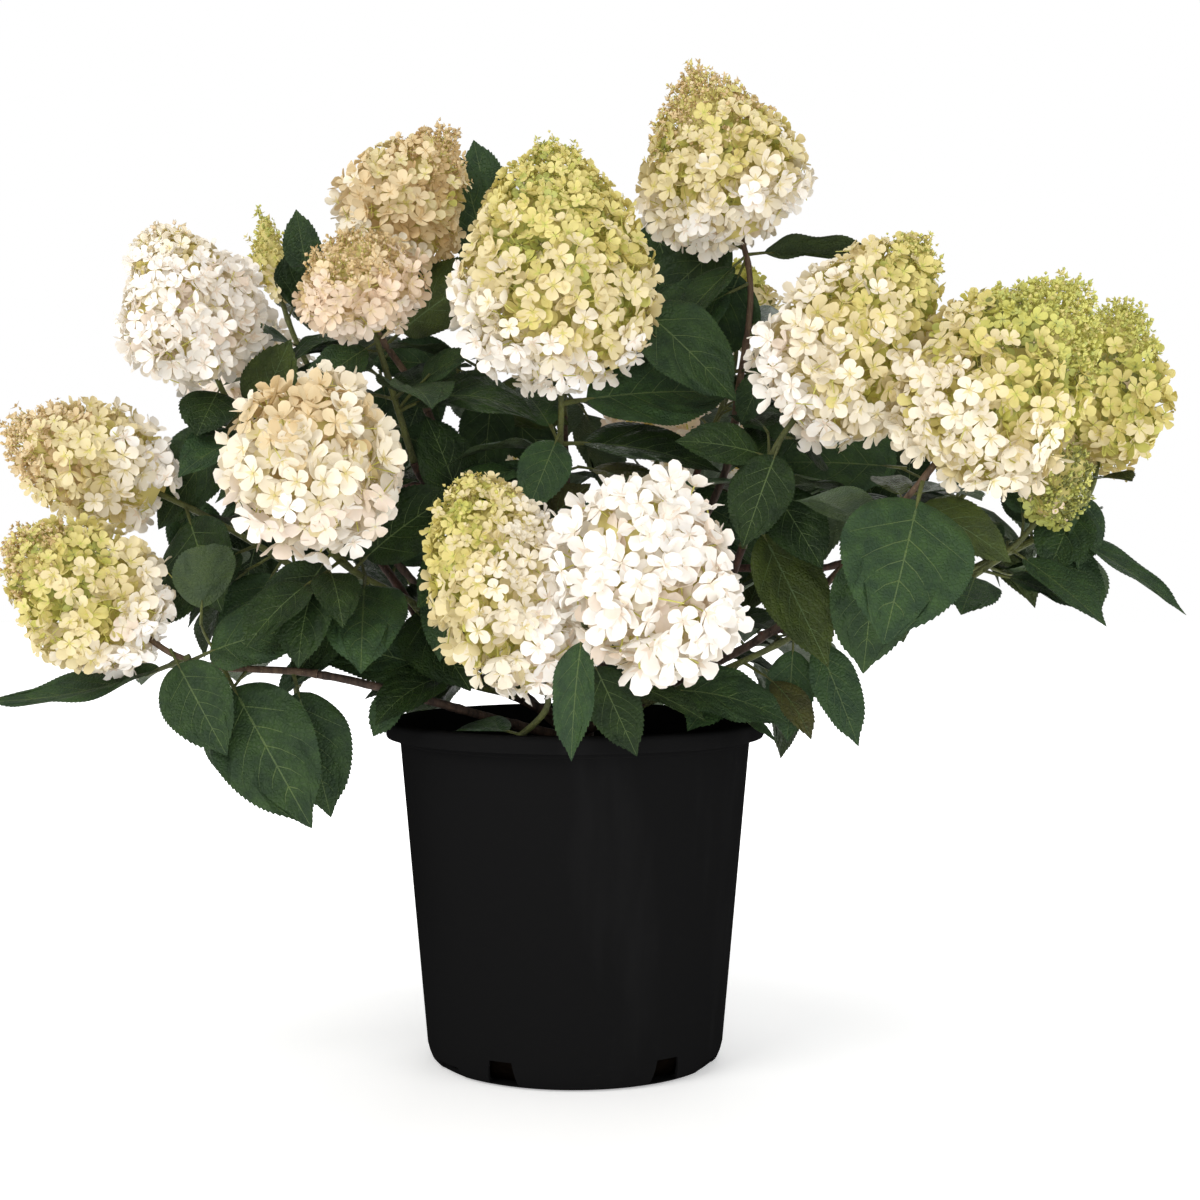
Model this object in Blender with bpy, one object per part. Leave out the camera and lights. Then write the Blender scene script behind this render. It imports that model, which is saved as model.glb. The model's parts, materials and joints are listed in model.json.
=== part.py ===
"""Potted panicle hydrangea: a multi-stemmed shrub in flower, in a black nursery pot.

Frame: the origin is the centre of the pot's flat underside, +Z is up and -Y is the plant's front.
A short woody trunk stands in the potting mix. Canes rise from it, side boughs leave the canes, and every
cane or bough ends where a shoot begins. A shoot is one foliage mass: a thin stem with leaves and side twigs,
and at its end a flower head, a slim core that four-petalled florets stand out of.
All driving sizes are in metres. The places in the tables of canes and shoots are in millimetres.
"""

import math
import random
from dataclasses import dataclass, field

import bmesh
import bpy
from mathutils import Quaternion, Vector
from mathutils.bvhtree import BVHTree

MM = 0.001
UP = Vector((0, 0, 1))
VIEWER = Vector((0, -1, 0))

# Pot
POT_HEIGHT = 0.252
RIM_RADIUS = 0.140
WALL_TOP_RADIUS = 0.1295
WALL_FOOT_RADIUS = 0.1085
WALL_THICKNESS = 0.002
FLOOR_THICKNESS = 0.003
FOOT_RADIUS = 0.100
CORNER_HEIGHT = 0.014
LIP_HEIGHT = 0.0125
LIP_CHAMFER = 0.001
LIP_SHOULDER = (0.003, 0.004)
LIP_INNER_INSET = 0.0005
INNER_EDGE_DROP = 0.002
CORNER_INSET = 0.0025
CORNER_BEND = 0.35
POT_SIDES = 32
SOIL_SIDES = 16
WINDOW_ANGLES = (37.0, 152.0, 217.0, 332.0)
WINDOW_FOOT_WIDTH = 0.024
WINDOW_TOP_WIDTH = 0.018
WINDOW_SILL = 0.0025
WINDOW_HEIGHT = 0.0195
NOTCH_ANGLES = (67.0, 122.0, 247.0, 302.0)
NOTCH_WIDTH = 0.040
NOTCH_TOP_SHARE = 0.7
NOTCH_HEIGHT = 0.008
NOTCH_INNER_EDGE = 0.001
CUTTER_INWARD = 0.012
CUTTER_OUTWARD = 0.020
CUTTER_BELOW = 0.005

# Potting mix
SOIL_DROP = 0.028
SOIL_TOP = POT_HEIGHT - SOIL_DROP
SEAT_GAP = 0.0003
SOIL_FOOT_INSET = 0.004
SOIL_WALL_GAP = 0.001
SOIL_CORNER_RISE = 0.002
SOIL_EDGE_DROP = 0.003
SOIL_EDGE_INSET = 0.004

# Trunk, canes and boughs. The trunk's rings are shares of its height with their radii.
TRUNK_HEIGHT = 0.046
TRUNK_RINGS = ((0, 0.0185), (0.12, 0.0155), (0.3, 0.0135), (0.6, 0.0130), (0.9, 0.0125), (1, 0.0105))
TRUNK_LEAN = 0.004
TRUNK_SIDES = 9
CANE_RADIUS = 0.0048
CANE_TIP_RADIUS = 0.0034
BOUGH_RADIUS = 0.0032
BOUGH_TIP_RADIUS = 0.0028
LIMB_SIDES = 5
CANE_RINGS = 6
BOUGH_RINGS = 5
STEM_RADIUS = 0.0027
STEM_TIP_RADIUS = 0.0021
STEM_SIDES = 3
STEM_RINGS = 5
STEM_INTO_HEAD = 0.03
STEM_INTO_HEAD_SHARE = 0.35

# Leaves
LEAF_THICKNESS = 0.0016
LEAF_THICKNESS_SHARE = 0.014
LEAF_WIDEST = 0.82
LEAF_FULLNESS = 0.75
PETIOLE_SHARE = 0.14
PETIOLE_HALF_WIDTH = 0.0016
LEAF_FOLD = math.radians(16)
LEAF_CLEARANCE = 0.0008
RULE_LEAF_LENGTH = (0.082, 0.112)
RULE_LEAF_RATIO = (0.50, 0.60)
WHORL_TURNS = (0, math.pi * 0.66, math.pi * 1.33)
FIRST_WHORL = 0.22
WHORL_SPAN = 0.62
SIZES_TRIED = (1.0, 0.86, 0.72)
LIFTS_TRIED = (0.0, 0.25, -0.25, 0.55)
TURNS_TRIED = (0, 8, -8, 16, -16, 28, -28, 42, -42)
PLAIN_CUTS = (0.34, 0.68)
OWN_CUTS = (PETIOLE_SHARE, 0.42, 0.76)
WIDE_CUTS = (PETIOLE_SHARE, 0.34, 0.62, 0.85)
WIDE_FROM = 112

# Flower heads
CORE_SHARE = 0.86
CORE_SIDES = 7
CORE_STATIONS = (0.07, 0.28, 0.58, 0.87)
OUTLINE_SHARE = 0.92
CONE_SLANT = 0.62
CONE_FULLNESS = 0.8
FLORETS_PER_METRE = 165
BACK_FLORETS_PER_METRE = 135
FLORET_SHARE = 0.30
FLORET_ROOT_SHARE = 0.66
PETAL_NOTCH_SHARE = 0.52
GOLDEN_ANGLE = math.pi * (3 - math.sqrt(5))
FIRST_FLORET = 0.06
LAST_FLORET = 0.88
FLORET_CROWDING = 1.15
FLORET_SINK = 0.002
FLORET_CUP_SHARE = 0.15
FLORET_HEART_SHARE = 0.22

GREEN = (0.035, 0.105, 0.045, 1)
CREAM = (0.86, 0.82, 0.62, 1)
BARK = (0.12, 0.07, 0.045, 1)
BLACK = (0.012, 0.012, 0.013, 1)
SOIL_BROWN = (0.045, 0.028, 0.018, 1)


@dataclass
class Leaf:
    """One leaf: where it leaves its stem, the way it points, the way its upper face looks, and its size."""

    at: float
    aim: tuple
    length: float
    width: float
    face: tuple = (0, -0.35, 1)
    bend: float = 35


@dataclass
class Shoot:
    """One foliage mass. It starts at foot, and its flower head runs from base to tip."""

    name: str
    foot: tuple
    base: tuple
    tip: tuple = None
    radius: float = 0
    taper: float = 0.8
    pairs: int = 2
    leaves: list = field(default_factory=list)
    parent: str = None
    at: float = 0.6


@dataclass
class Cane:
    """One woody limb. It leaves the trunk, or a parent limb at the share `at`, and ends at its shoot's foot."""

    name: str
    shoot: str
    start: tuple = None
    lift: tuple = (0, 0, 1)
    parent: str = None
    at: float = 0.6


SHOOTS = [
    Shoot("shoot_top_right", (118, 0, 470), (125, 0, 598), (84, -10, 731), 64, 0.85, 1, [
        Leaf(0.97, (10, -2, 1), 98, 40, (0, 0.35, 1), 10),
        Leaf(0.96, (-7, -3, -6), 84, 34, (-0.4, -0.6, 0.6), 15),
        Leaf(0.94, (-3.5, 3, -8), 84, 62, (0, -1, 0.3), 10),
        Leaf(0.80, (-9, 1, -4), 100, 54, (0, -0.8, 0.6), 20),
        Leaf(0.55, (6, 6, 3), 96, 54),
    ]),
    Shoot("shoot_top_centre", (-15, -40, 400), (-9, -80, 490), (-16, -110, 662), 72, 0.7, 1, [
        Leaf(0.90, (10, 1.5, 2), 132, 70, (0, -0.8, 0.5), 25),
        Leaf(0.60, (9.5, -1, 0.5), 118, 58, (0, -0.5, 0.9), 30),
        Leaf(0.35, (-6, -4, -1), 78, 42, (0, -0.8, 0.5), 40),
        Leaf(0.70, (-2, -5, -5), 74, 38, (0, -1, 0.2), 20),
    ]),
    Shoot("shoot_top_left", (-110, 20, 480), (-155, 30, 590), (-91, 20, 692), 49, 0.7, 1, [
        Leaf(0.45, (7.5, -4, 6.5), 110, 60, (0, -0.8, 0.5), 30),
        Leaf(0.60, (-3, 7, 4), 92, 52),
    ]),
    Shoot("shoot_dusty", (-115, -45, 440), (-141, -60, 530), (-162, -80, 602), 48, 0.4, 1, [
        Leaf(0.95, (-8, -4, -5), 66, 40, (-0.2, -0.8, 0.6), 20),
        Leaf(0.40, (8.5, -4, 5), 108, 62, (0, -0.5, 0.9), 75),
        Leaf(0.20, (-8, -3, 3), 90, 50, (0, -0.5, 0.9), 60),
    ]),
    Shoot("shoot_left_high", (-190, 0, 420), (-261, -10, 500), (-302, -30, 613), 55, 0.6, 1, [
        Leaf(0.75, (-4.5, -4, -7), 104, 68, (-0.3, -1, 0.3), 12),
        Leaf(0.97, (-1.5, -7, -5), 58, 44, (0, -1, 0.3), 15),
        Leaf(0.45, (-5, 6, 5), 92, 52),
        Leaf(0.60, (3, -4, 7), 74, 44, (0, -0.9, 0.3), 20),
    ]),
    Shoot("shoot_left_bud", (-170, 75, 450), (-230, 95, 572), (-247, 98, 642), 20, 0.8, 1, [
        Leaf(0.88, (3.5, -4.5, 7), 70, 46, (0.1, -1, 0.3), 10),
        Leaf(0.70, (-4, -5, 2), 66, 38, (-0.2, -0.7, 0.7), 30),
        Leaf(0.45, (-8, 4, 3), 92, 50),
    ]),
    Shoot("shoot_round_left", (-110, -40, 335), (-173, -96, 388), (-179, -180, 488), 63, 0.2, 1, [
        Leaf(0.45, (-6, -3, -7), 92, 44, (-0.3, -0.9, 0.3), 15),
        Leaf(0.85, (-5, -3, -7), 88, 52, (-0.2, -1, 0.3), 15),
        Leaf(0.12, (4.5, -5, -5), 88, 60, (0.2, -1, 0.4), 20),
        Leaf(0.60, (6, -3, 6), 96, 54, (0, -0.9, 0.5), 40),
    ]),
    Shoot("shoot_left_mid", (-170, -30, 345), (-290, -40, 414), (-406, -60, 468), 46, 0.5, 1, [
        Leaf(0.92, (3, -6, -7), 96, 58, (-0.3, -1, 0.2), 15),
        Leaf(0.35, (-4, -3, -6), 88, 48, (-0.3, -1, 0.4), 20),
        Leaf(0.65, (-2, 8, 3), 96, 54),
    ]),
    Shoot("shoot_left_low", (-178, -98, 292), (-288, -100, 312), (-388, -120, 390), 51, 0.5, 0, [
        Leaf(0.15, (3, -3.5, -9), 106, 56, (0.2, -1, 0.3), 12),
        Leaf(0.58, (5, -4, -8), 138, 74, (-0.15, -1, 0.35), 12),
        Leaf(0.92, (4, -4, -8), 94, 52, (-0.3, -1, 0.35), 12),
        Leaf(0.80, (-10, 1, -4.5), 150, 48, (-0.1, -0.4, 1), -26),
        Leaf(0.76, (8, -5, 4), 108, 58, (0, -0.8, 0.6), 35),
        Leaf(0.40, (-2, 7, 3), 90, 48),
    ]),
    Shoot("shoot_front_left", (-45, -99, 240), (-18, -126, 282), (-64, -166, 431), 53, 0.6, 0, [
        Leaf(0.25, (-8, 2, 1), 84, 40, (0, -0.6, 0.9), 40),
    ]),
    Shoot("shoot_front_right", (50, -78, 272), (66, -142, 300), (45, -226, 428), 63, 0.15, 1, [
        Leaf(0.40, (8, -3, 1), 96, 52, (0, -0.6, 0.8), 50),
    ]),
    Shoot("shoot_right_high", (120, -60, 380), (148, -100, 462), (244, -112, 593), 61, 0.65, 1, [
        Leaf(0.90, (-3.5, -5, -8), 86, 46, (-0.2, -1, 0.3), 15),
        Leaf(0.60, (4.5, -5, -7), 82, 46, (0.2, -1, 0.2), 15),
        Leaf(0.75, (-8, -3, 3), 70, 38, (0, -0.8, 0.6), 35),
        Leaf(0.28, (4, -4, -8), 124, 52, (0.2, -1, 0.2), 10),
        Leaf(0.93, (8, 3, -3), 92, 50, (0, -0.8, 0.6), 25),
    ]),
    Shoot("shoot_right_front", (175, -70, 350), (240, -130, 430), (342, -150, 560), 66, 0.6, 1, [
        Leaf(0.97, (-2.5, -5, -8), 128, 94, (0.05, -1, 0.35), 10),
        Leaf(0.55, (-1, -1.5, -10), 100, 62, (0.1, -1, 0.1), 8),
        Leaf(0.80, (8, -2, -3), 86, 46, (0, -0.7, 0.7), 30),
    ]),
    Shoot("shoot_right_far", (270, -10, 350), (380, -20, 432), (404, -10, 563), 46, 0.6, 1, [
        Leaf(0.62, (8.5, -3, -4.5), 114, 38, (0.2, -0.4, 1), 15),
        Leaf(0.85, (-3.5, -6, -5), 74, 46, (0, -1, 0.4), 15),
        Leaf(0.93, (-1, -3, -9), 66, 34, (0.4, -0.9, 0.1), 12),
        Leaf(0.97, (3, -7, 3), 46, 32, (0.2, -0.7, 0.7), 20),
        Leaf(0.70, (2, 8, 2), 96, 54),
    ]),
    Shoot("shoot_right_bud", (255, -52, 338), (332, -50, 400), (362, -62, 452), 28, 0.5, 0, [
        Leaf(0.70, (7.5, -4, -5.6), 96, 40, (0.3, -0.6, 0.8), 12),
        Leaf(0.40, (-2, -7, -2), 66, 44, (0, -1, 0.5), 20),
    ]),
    Shoot("shoot_behind_right", (95, 80, 440), (125, 100, 533), (128, 100, 604), 36, 0.7, 1, [
        Leaf(0.80, (7, -3, 4), 84, 48, (0, -0.8, 0.5), 30),
    ]),
    Shoot("shoot_behind_centre", (30, 40, 380), (62, 58, 455), (52, 50, 520), 42, 0.4, 1, [
        Leaf(0.60, (8, -2, -2), 96, 52, (0, -0.8, 0.6), 35),
    ]),
    Shoot("shoot_back_centre", (-10, 120, 480), (-12, 185, 560), (-20, 205, 690), 56, 0.75, 2),
    Shoot("shoot_back_right_high", (150, 125, 430), (215, 185, 505), (245, 205, 620), 54, 0.7, 2),
    Shoot("shoot_back_left_high", (-185, 125, 410), (-255, 165, 480), (-300, 185, 588), 52, 0.7, 2),
    Shoot("shoot_back_left", (-130, 150, 345), (-205, 235, 395), (-240, 290, 480), 54, 0.5, 2),
    Shoot("shoot_back_low", (-20, 130, 320), (-55, 265, 385), (-70, 345, 460), 57, 0.4, 2),
    Shoot("shoot_back_right", (80, 140, 340), (110, 250, 420), (125, 325, 520), 55, 0.6, 2),
    Shoot("shoot_right_back", (215, 80, 370), (315, 130, 430), (365, 165, 540), 52, 0.7, 2),
    Shoot("sprout_front", None, (8, -186, 334), pairs=0, parent="cane_front_right", at=0.35, leaves=[
        Leaf(0.98, (-1.6, -3, -10), 92, 34, (-0.6, -1, 0), 14),
        Leaf(0.74, (4, -3, -8), 78, 38, (0.2, -1, 0), 12),
        Leaf(0.55, (9.5, -3, -3), 112, 34, (0.1, -0.6, 1), 25),
        Leaf(0.45, (-7, -1, 2), 84, 42, (0, -0.7, 0.8), 45),
    ]),
    Shoot("sprout_left", None, (-88, -70, 290), pairs=0, parent="cane_left", at=0.25, leaves=[
        Leaf(0.97, (-9.5, -1, 3.5), 112, 52, (0, -0.9, 0.6), 30),
        Leaf(0.92, (-5, -6, 1), 78, 42, (0, -0.7, 0.8), 70),
        Leaf(0.50, (-2, 7, 4), 90, 48),
    ]),
    Shoot("sprout_right", None, (172, -64, 326), pairs=0, parent="cane_front_right", at=0.7, leaves=[
        Leaf(0.97, (3.8, -2, -9), 92, 38, (0.4, -1, 0), 8),
        Leaf(0.88, (-1, -3, -9), 76, 36, (-0.2, -1, 0), 8),
        Leaf(0.60, (-3, -4, -7), 92, 50, (0, -1, 0.2), 12),
        Leaf(0.80, (2, 7, 2), 96, 54),
    ]),
    Shoot("sprout_top", None, (-62, 72, 582), pairs=0, parent="cane_left_high", at=0.8, leaves=[
        Leaf(0.98, (-2.5, -1, 9.5), 102, 54, (0, -1, 0.2), 10),
        Leaf(0.70, (7, -4, 3), 92, 50, (0, -0.8, 0.6), 35),
        Leaf(0.50, (-5, -5, 3), 84, 46, (0, -0.9, 0.5), 40),
        Leaf(0.40, (6, -5, -1), 88, 48, (0, -0.9, 0.5), 30),
    ]),
    Shoot("sprout_inner", None, (-78, -62, 398), pairs=0, parent="cane_centre", at=0.62, leaves=[
        Leaf(0.97, (-2, -3, 8), 84, 46, (0, -1, 0.3), 25),
        Leaf(0.93, (5, -6, 3), 84, 46, (0, -1, 0.3), 25),
        Leaf(0.70, (-4, -6, -3), 86, 48, (0, -1, 0.4), 20),
        Leaf(0.50, (5, -3, 7), 84, 46, (0, -0.9, 0.4), 35),
    ]),
    Shoot("sprout_back_right", None, (150, 170, 320), pairs=2, parent="cane_back_right", at=0.35),
    Shoot("sprout_back_left", None, (-165, 110, 320), pairs=2, parent="cane_back_left", at=0.3),
]

CANES = [
    Cane("cane_left_low", "shoot_left_low", (0, 0, 237), (-8, -4, 2)),
    Cane("cane_left", "shoot_left_mid", (0, 0, 249), (-8, -1, 3)),
    Cane("cane_left_high", "shoot_top_left", (-7, 4, 262), (-2, 1, 8)),
    Cane("cane_centre", "shoot_top_centre", (-1, -8, 262), (-1, -2, 8)),
    Cane("cane_front_left", "shoot_front_left", (-46, -88, 224.3), (0, -1, 8)),
    Cane("cane_front_right", "shoot_front_right", (0, 0, 238), (4, -8, 4)),
    Cane("cane_right_high", "shoot_top_right", (8, 0, 262), (3, 0, 8)),
    Cane("cane_right", "shoot_right_front", (0, 0, 247), (8, -3, 4)),
    Cane("cane_back_left", "shoot_back_left_high", (0, 0, 237), (-6, 6, 4)),
    Cane("cane_back", "shoot_back_centre", (1, 8, 262), (0, 3, 8)),
    Cane("cane_back_right", "shoot_back_right_high", (0, 0, 238), (6, 6, 4)),
    Cane("bough_round_left", "shoot_round_left", parent="cane_left", at=0.45, lift=(-6, -5, 6)),
    Cane("bough_left_high", "shoot_left_high", parent="cane_left", at=0.62, lift=(-3, 2, 9)),
    Cane("bough_dusty", "shoot_dusty", parent="cane_left_high", at=0.55, lift=(-4, -5, 8)),
    Cane("bough_left_bud", "shoot_left_bud", parent="cane_left_high", at=0.68, lift=(-6, 6, 6)),
    Cane("bough_behind_centre", "shoot_behind_centre", parent="cane_centre", at=0.40, lift=(5, 4, 6)),
    Cane("bough_behind_right", "shoot_behind_right", parent="cane_right_high", at=0.50, lift=(1, 7, 7)),
    Cane("bough_right_high", "shoot_right_high", parent="cane_right", at=0.50, lift=(2, -2, 9)),
    Cane("bough_right_far", "shoot_right_far", parent="cane_right", at=0.72, lift=(8, 4, 4)),
    Cane("bough_right_bud", "shoot_right_bud", parent="cane_right", at=0.88, lift=(8, 2, 0)),
    Cane("bough_back_left", "shoot_back_left", parent="cane_back_left", at=0.55, lift=(-3, 7, 3)),
    Cane("bough_back_low", "shoot_back_low", parent="cane_back", at=0.30, lift=(-1, 8, 3)),
    Cane("bough_back_right", "shoot_back_right", parent="cane_back_right", at=0.45, lift=(0, 8, 4)),
    Cane("bough_right_back", "shoot_right_back", parent="cane_back_right", at=0.65, lift=(8, -1, 2)),
]


def metres(point):
    return Vector(point) * MM


def clear_scene():
    for obj in list(bpy.data.objects):
        bpy.data.objects.remove(obj, do_unlink=True)


def finish(name, colour, roughness):
    """A plain Principled material."""
    material = bpy.data.materials.new(name)
    material.use_nodes = True
    shader = material.node_tree.nodes["Principled BSDF"]
    shader.inputs["Base Color"].default_value = colour
    shader.inputs["Roughness"].default_value = roughness
    shader.inputs["Metallic"].default_value = 0.0
    material.diffuse_color = colour
    return material


def new_object(name, mesh, materials, collection=None):
    obj = bpy.data.objects.new(name, mesh)
    for material in materials:
        mesh.materials.append(material)
    (collection or bpy.context.scene.collection).objects.link(obj)
    return obj


def mesh_from(name, points, faces, slot=0):
    """A closed mesh whose faces point outwards."""
    mesh = bpy.data.meshes.new(name)
    shape = bmesh.new()
    corners = [shape.verts.new(point) for point in points]
    for face in faces:
        shape.faces.new([corners[i] for i in face]).material_index = slot
    bmesh.ops.recalc_face_normals(shape, faces=shape.faces)
    shape.to_mesh(mesh)
    shape.free()
    return mesh


def rings_and_ends(ring_count, sides, start, end):
    """Faces of a lofted tube: rings of `sides` points, closed by the point `start` or `end`, or a flat cap."""
    faces = []
    for ring in range(ring_count - 1):
        low, high = ring * sides, (ring + 1) * sides
        for i in range(sides):
            j = (i + 1) % sides
            faces.append((low + i, low + j, high + j, high + i))
    last = (ring_count - 1) * sides
    if start is None:
        faces.append(tuple(range(sides)))
    else:
        faces += [(start, (i + 1) % sides, i) for i in range(sides)]
    if end is None:
        faces.append(tuple(last + i for i in range(sides)))
    else:
        faces += [(end, last + i, last + (i + 1) % sides) for i in range(sides)]
    return faces


# Pot and potting mix


def wall_radius(height):
    """Outer radius of the pot's wall at a height above its underside."""
    share = height / (POT_HEIGHT - LIP_HEIGHT)
    return WALL_FOOT_RADIUS + (WALL_TOP_RADIUS - WALL_FOOT_RADIUS) * share


def inner_radius(height):
    """Inner radius of the pot's wall at a height, above the rounded corner."""
    low = wall_radius(CORNER_HEIGHT) - WALL_THICKNESS
    high = WALL_TOP_RADIUS - WALL_THICKNESS
    share = (height - CORNER_HEIGHT) / (POT_HEIGHT - INNER_EDGE_DROP - CORNER_HEIGHT)
    return low + (high - low) * share


def pot_profile():
    """Half section of the pot, from the middle of the underside, out and up over the lip, and back inside."""
    lip_foot = POT_HEIGHT - LIP_HEIGHT
    shoulder_width, shoulder_height = LIP_SHOULDER
    outer = [(FOOT_RADIUS, 0.0), (wall_radius(CORNER_HEIGHT) - CORNER_INSET, CORNER_HEIGHT * CORNER_BEND)]
    outer += [(wall_radius(CORNER_HEIGHT), CORNER_HEIGHT), (wall_radius(lip_foot), lip_foot)]
    lip = [(RIM_RADIUS - LIP_CHAMFER, lip_foot + LIP_CHAMFER), (RIM_RADIUS, POT_HEIGHT - shoulder_height)]
    lip += [(RIM_RADIUS - shoulder_width, POT_HEIGHT), (WALL_TOP_RADIUS - LIP_INNER_INSET, POT_HEIGHT)]
    inner = [(inner_radius(height), height) for height in (POT_HEIGHT - INNER_EDGE_DROP, CORNER_HEIGHT)]
    inner += [(FOOT_RADIUS - WALL_THICKNESS / 2, FLOOR_THICKNESS)]
    return outer + lip + inner


def turned(name, profile, sides, foot_height, top_height):
    """A solid turned about Z, closed by a point on the axis at each end of its profile."""
    points = []
    for radius, height in profile:
        for i in range(sides):
            turn = 2 * math.pi * i / sides
            points.append((radius * math.sin(turn), -radius * math.cos(turn), height))
    points += [(0, 0, foot_height), (0, 0, top_height)]
    faces = rings_and_ends(len(profile), sides, len(points) - 2, len(points) - 1)
    return mesh_from(name, points, faces)


def cut_by(obj, cutter, name):
    """Takes the cutter's shape out of obj with a live Boolean, and keeps the cutter out of the render."""
    cutter.hide_render = True
    cutter.display_type = "WIRE"
    modifier = obj.modifiers.new(name, "BOOLEAN")
    modifier.operation = "DIFFERENCE"
    modifier.solver = "EXACT"
    modifier.object = cutter


def wall_cutter(name, angle, foot_width, top_width, sill, top):
    """A radial wedge, a trapezium seen from outside, that goes through the wall at an angle from the front."""
    inside, outside = FOOT_RADIUS - CUTTER_INWARD, WALL_FOOT_RADIUS + CUTTER_OUTWARD
    points = []
    for reach in (inside, outside):
        points += [(-foot_width / 2, -reach, sill), (foot_width / 2, -reach, sill)]
        points += [(top_width / 2, -reach, top), (-top_width / 2, -reach, top)]
    faces = [(0, 1, 2, 3), (4, 7, 6, 5), (0, 4, 5, 1), (1, 5, 6, 2), (2, 6, 7, 3), (3, 7, 4, 0)]
    cutter = new_object(name, mesh_from(name, points, faces), [])
    cutter.rotation_euler.z = math.radians(angle)
    return cutter


def make_pot(material):
    """Turned shell with a rolled lip, drain windows through the corner and notches under the side walls."""
    pot = new_object("pot", turned("pot", pot_profile(), POT_SIDES, 0.0, FLOOR_THICKNESS), [material])
    for i, angle in enumerate(WINDOW_ANGLES):
        size = (WINDOW_FOOT_WIDTH, WINDOW_TOP_WIDTH, WINDOW_SILL, WINDOW_HEIGHT)
        cut_by(pot, wall_cutter(f"window_cutter_{i}", angle, *size), f"window_{i}")
    for i, angle in enumerate(NOTCH_ANGLES):
        size = (NOTCH_WIDTH, NOTCH_WIDTH * NOTCH_TOP_SHARE, -CUTTER_BELOW, NOTCH_HEIGHT)
        cut_by(pot, notch_cutter(f"notch_cutter_{i}", angle, *size), f"notch_{i}")
    pot.data.shade_smooth()
    return pot


def notch_cutter(name, angle, foot_width, top_width, low, top):
    """As wall_cutter, but only outside the floor's flat foot, so that the floor stays whole."""
    cutter = wall_cutter(name, angle, foot_width, top_width, low, top)
    inner_edge = FOOT_RADIUS + NOTCH_INNER_EDGE
    for vertex in cutter.data.vertices:
        vertex.co.y = min(vertex.co.y, -inner_edge)
    return cutter


def make_soil(material):
    """The root ball: it fills the pot up to its level, 0.3 mm clear of wall and floor."""
    low = FLOOR_THICKNESS + SEAT_GAP
    foot, edge = CORNER_HEIGHT + SOIL_CORNER_RISE, SOIL_TOP - SOIL_EDGE_DROP
    profile = [(FOOT_RADIUS - SOIL_FOOT_INSET, low), (inner_radius(foot) - SEAT_GAP - SOIL_WALL_GAP, foot)]
    profile += [(inner_radius(edge) - SEAT_GAP, edge), (inner_radius(SOIL_TOP) - SOIL_EDGE_INSET, SOIL_TOP)]
    return new_object("potting_mix", turned("potting_mix", profile, SOIL_SIDES, low, SOIL_TOP), [material])


# Limbs


def hermite(start, lift, end, arrive, count):
    """Points of a smooth path that leaves start along lift and reaches end along arrive."""
    reach = (end - start).length
    out, into = lift.normalized() * reach, arrive.normalized() * reach
    path = []
    for i in range(count):
        t = i / (count - 1)
        a, b = 2 * t**3 - 3 * t**2 + 1, t**3 - 2 * t**2 + t
        c, d = -2 * t**3 + 3 * t**2, t**3 - t**2
        path.append(start * a + out * b + end * c + into * d)
    return path


def tangents(path, first=None, last=None):
    """The way along the path at each point. The two ends can be given, so that limbs that meet face squarely."""
    ways = []
    for i in range(len(path)):
        ways.append((path[min(i + 1, len(path) - 1)] - path[max(i - 1, 0)]).normalized())
    ways[0] = first or ways[0]
    ways[-1] = last or ways[-1]
    return ways


def tube(name, path, radii, sides, slot=0, first=None, last=None):
    """A tapering tube with flat ends, swept without twist."""
    ways = tangents(path, first, last)
    side = ways[0].cross(UP if abs(ways[0].z) < 0.9 else VIEWER).normalized()
    points = []
    for at, way, radius in zip(path, ways, radii):
        side = (side - way * side.dot(way)).normalized()
        across = way.cross(side)
        for i in range(sides):
            turn = 2 * math.pi * i / sides
            points.append(at + (side * math.cos(turn) + across * math.sin(turn)) * radius)
    return mesh_from(name, points, rings_and_ends(len(path), sides, None, None), slot)


def tapered(first, last, count):
    return [first + (last - first) * i / (count - 1) for i in range(count)]


def trunk_path():
    foot = Vector((0, 0, SOIL_TOP + SEAT_GAP))
    return [foot + Vector((TRUNK_LEAN * s * s, 0, TRUNK_HEIGHT * s)) for s, _ in TRUNK_RINGS]


def inflated(name, path, radii, sides):
    """A helper body one seat gap larger than a limb all round, to cut the limbs that leave it."""
    more = SEAT_GAP / math.cos(math.pi / sides)
    ways = tangents(path)
    longer = [path[0] - ways[0] * SEAT_GAP] + path[1:-1] + [path[-1] + ways[-1] * SEAT_GAP]
    return new_object(name, tube(name, longer, [r + more for r in radii], sides), [])


def shoot_start(shoot):
    """Where the shoot's stem begins and the way it leaves: straight on from its bough's tip."""
    foot, base = metres(shoot.foot), metres(shoot.base)
    return foot, (base - foot).normalized()


def shoot_of(cane):
    return next(shoot for shoot in SHOOTS if shoot.name == cane.shoot)


def limb_path(cane, paths):
    """The limb's centre line, from the trunk or its parent to its shoot's foot."""
    end, arrive = shoot_start(shoot_of(cane))
    if cane.parent:
        parent = paths[cane.parent]
        place = cane.at * (len(parent) - 1)
        low = int(place)
        start = parent[low].lerp(parent[low + 1], place - low)
    else:
        start = metres(cane.start)
    return hermite(start, Vector(cane.lift), end, arrive, BOUGH_RINGS if cane.parent else CANE_RINGS)


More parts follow.
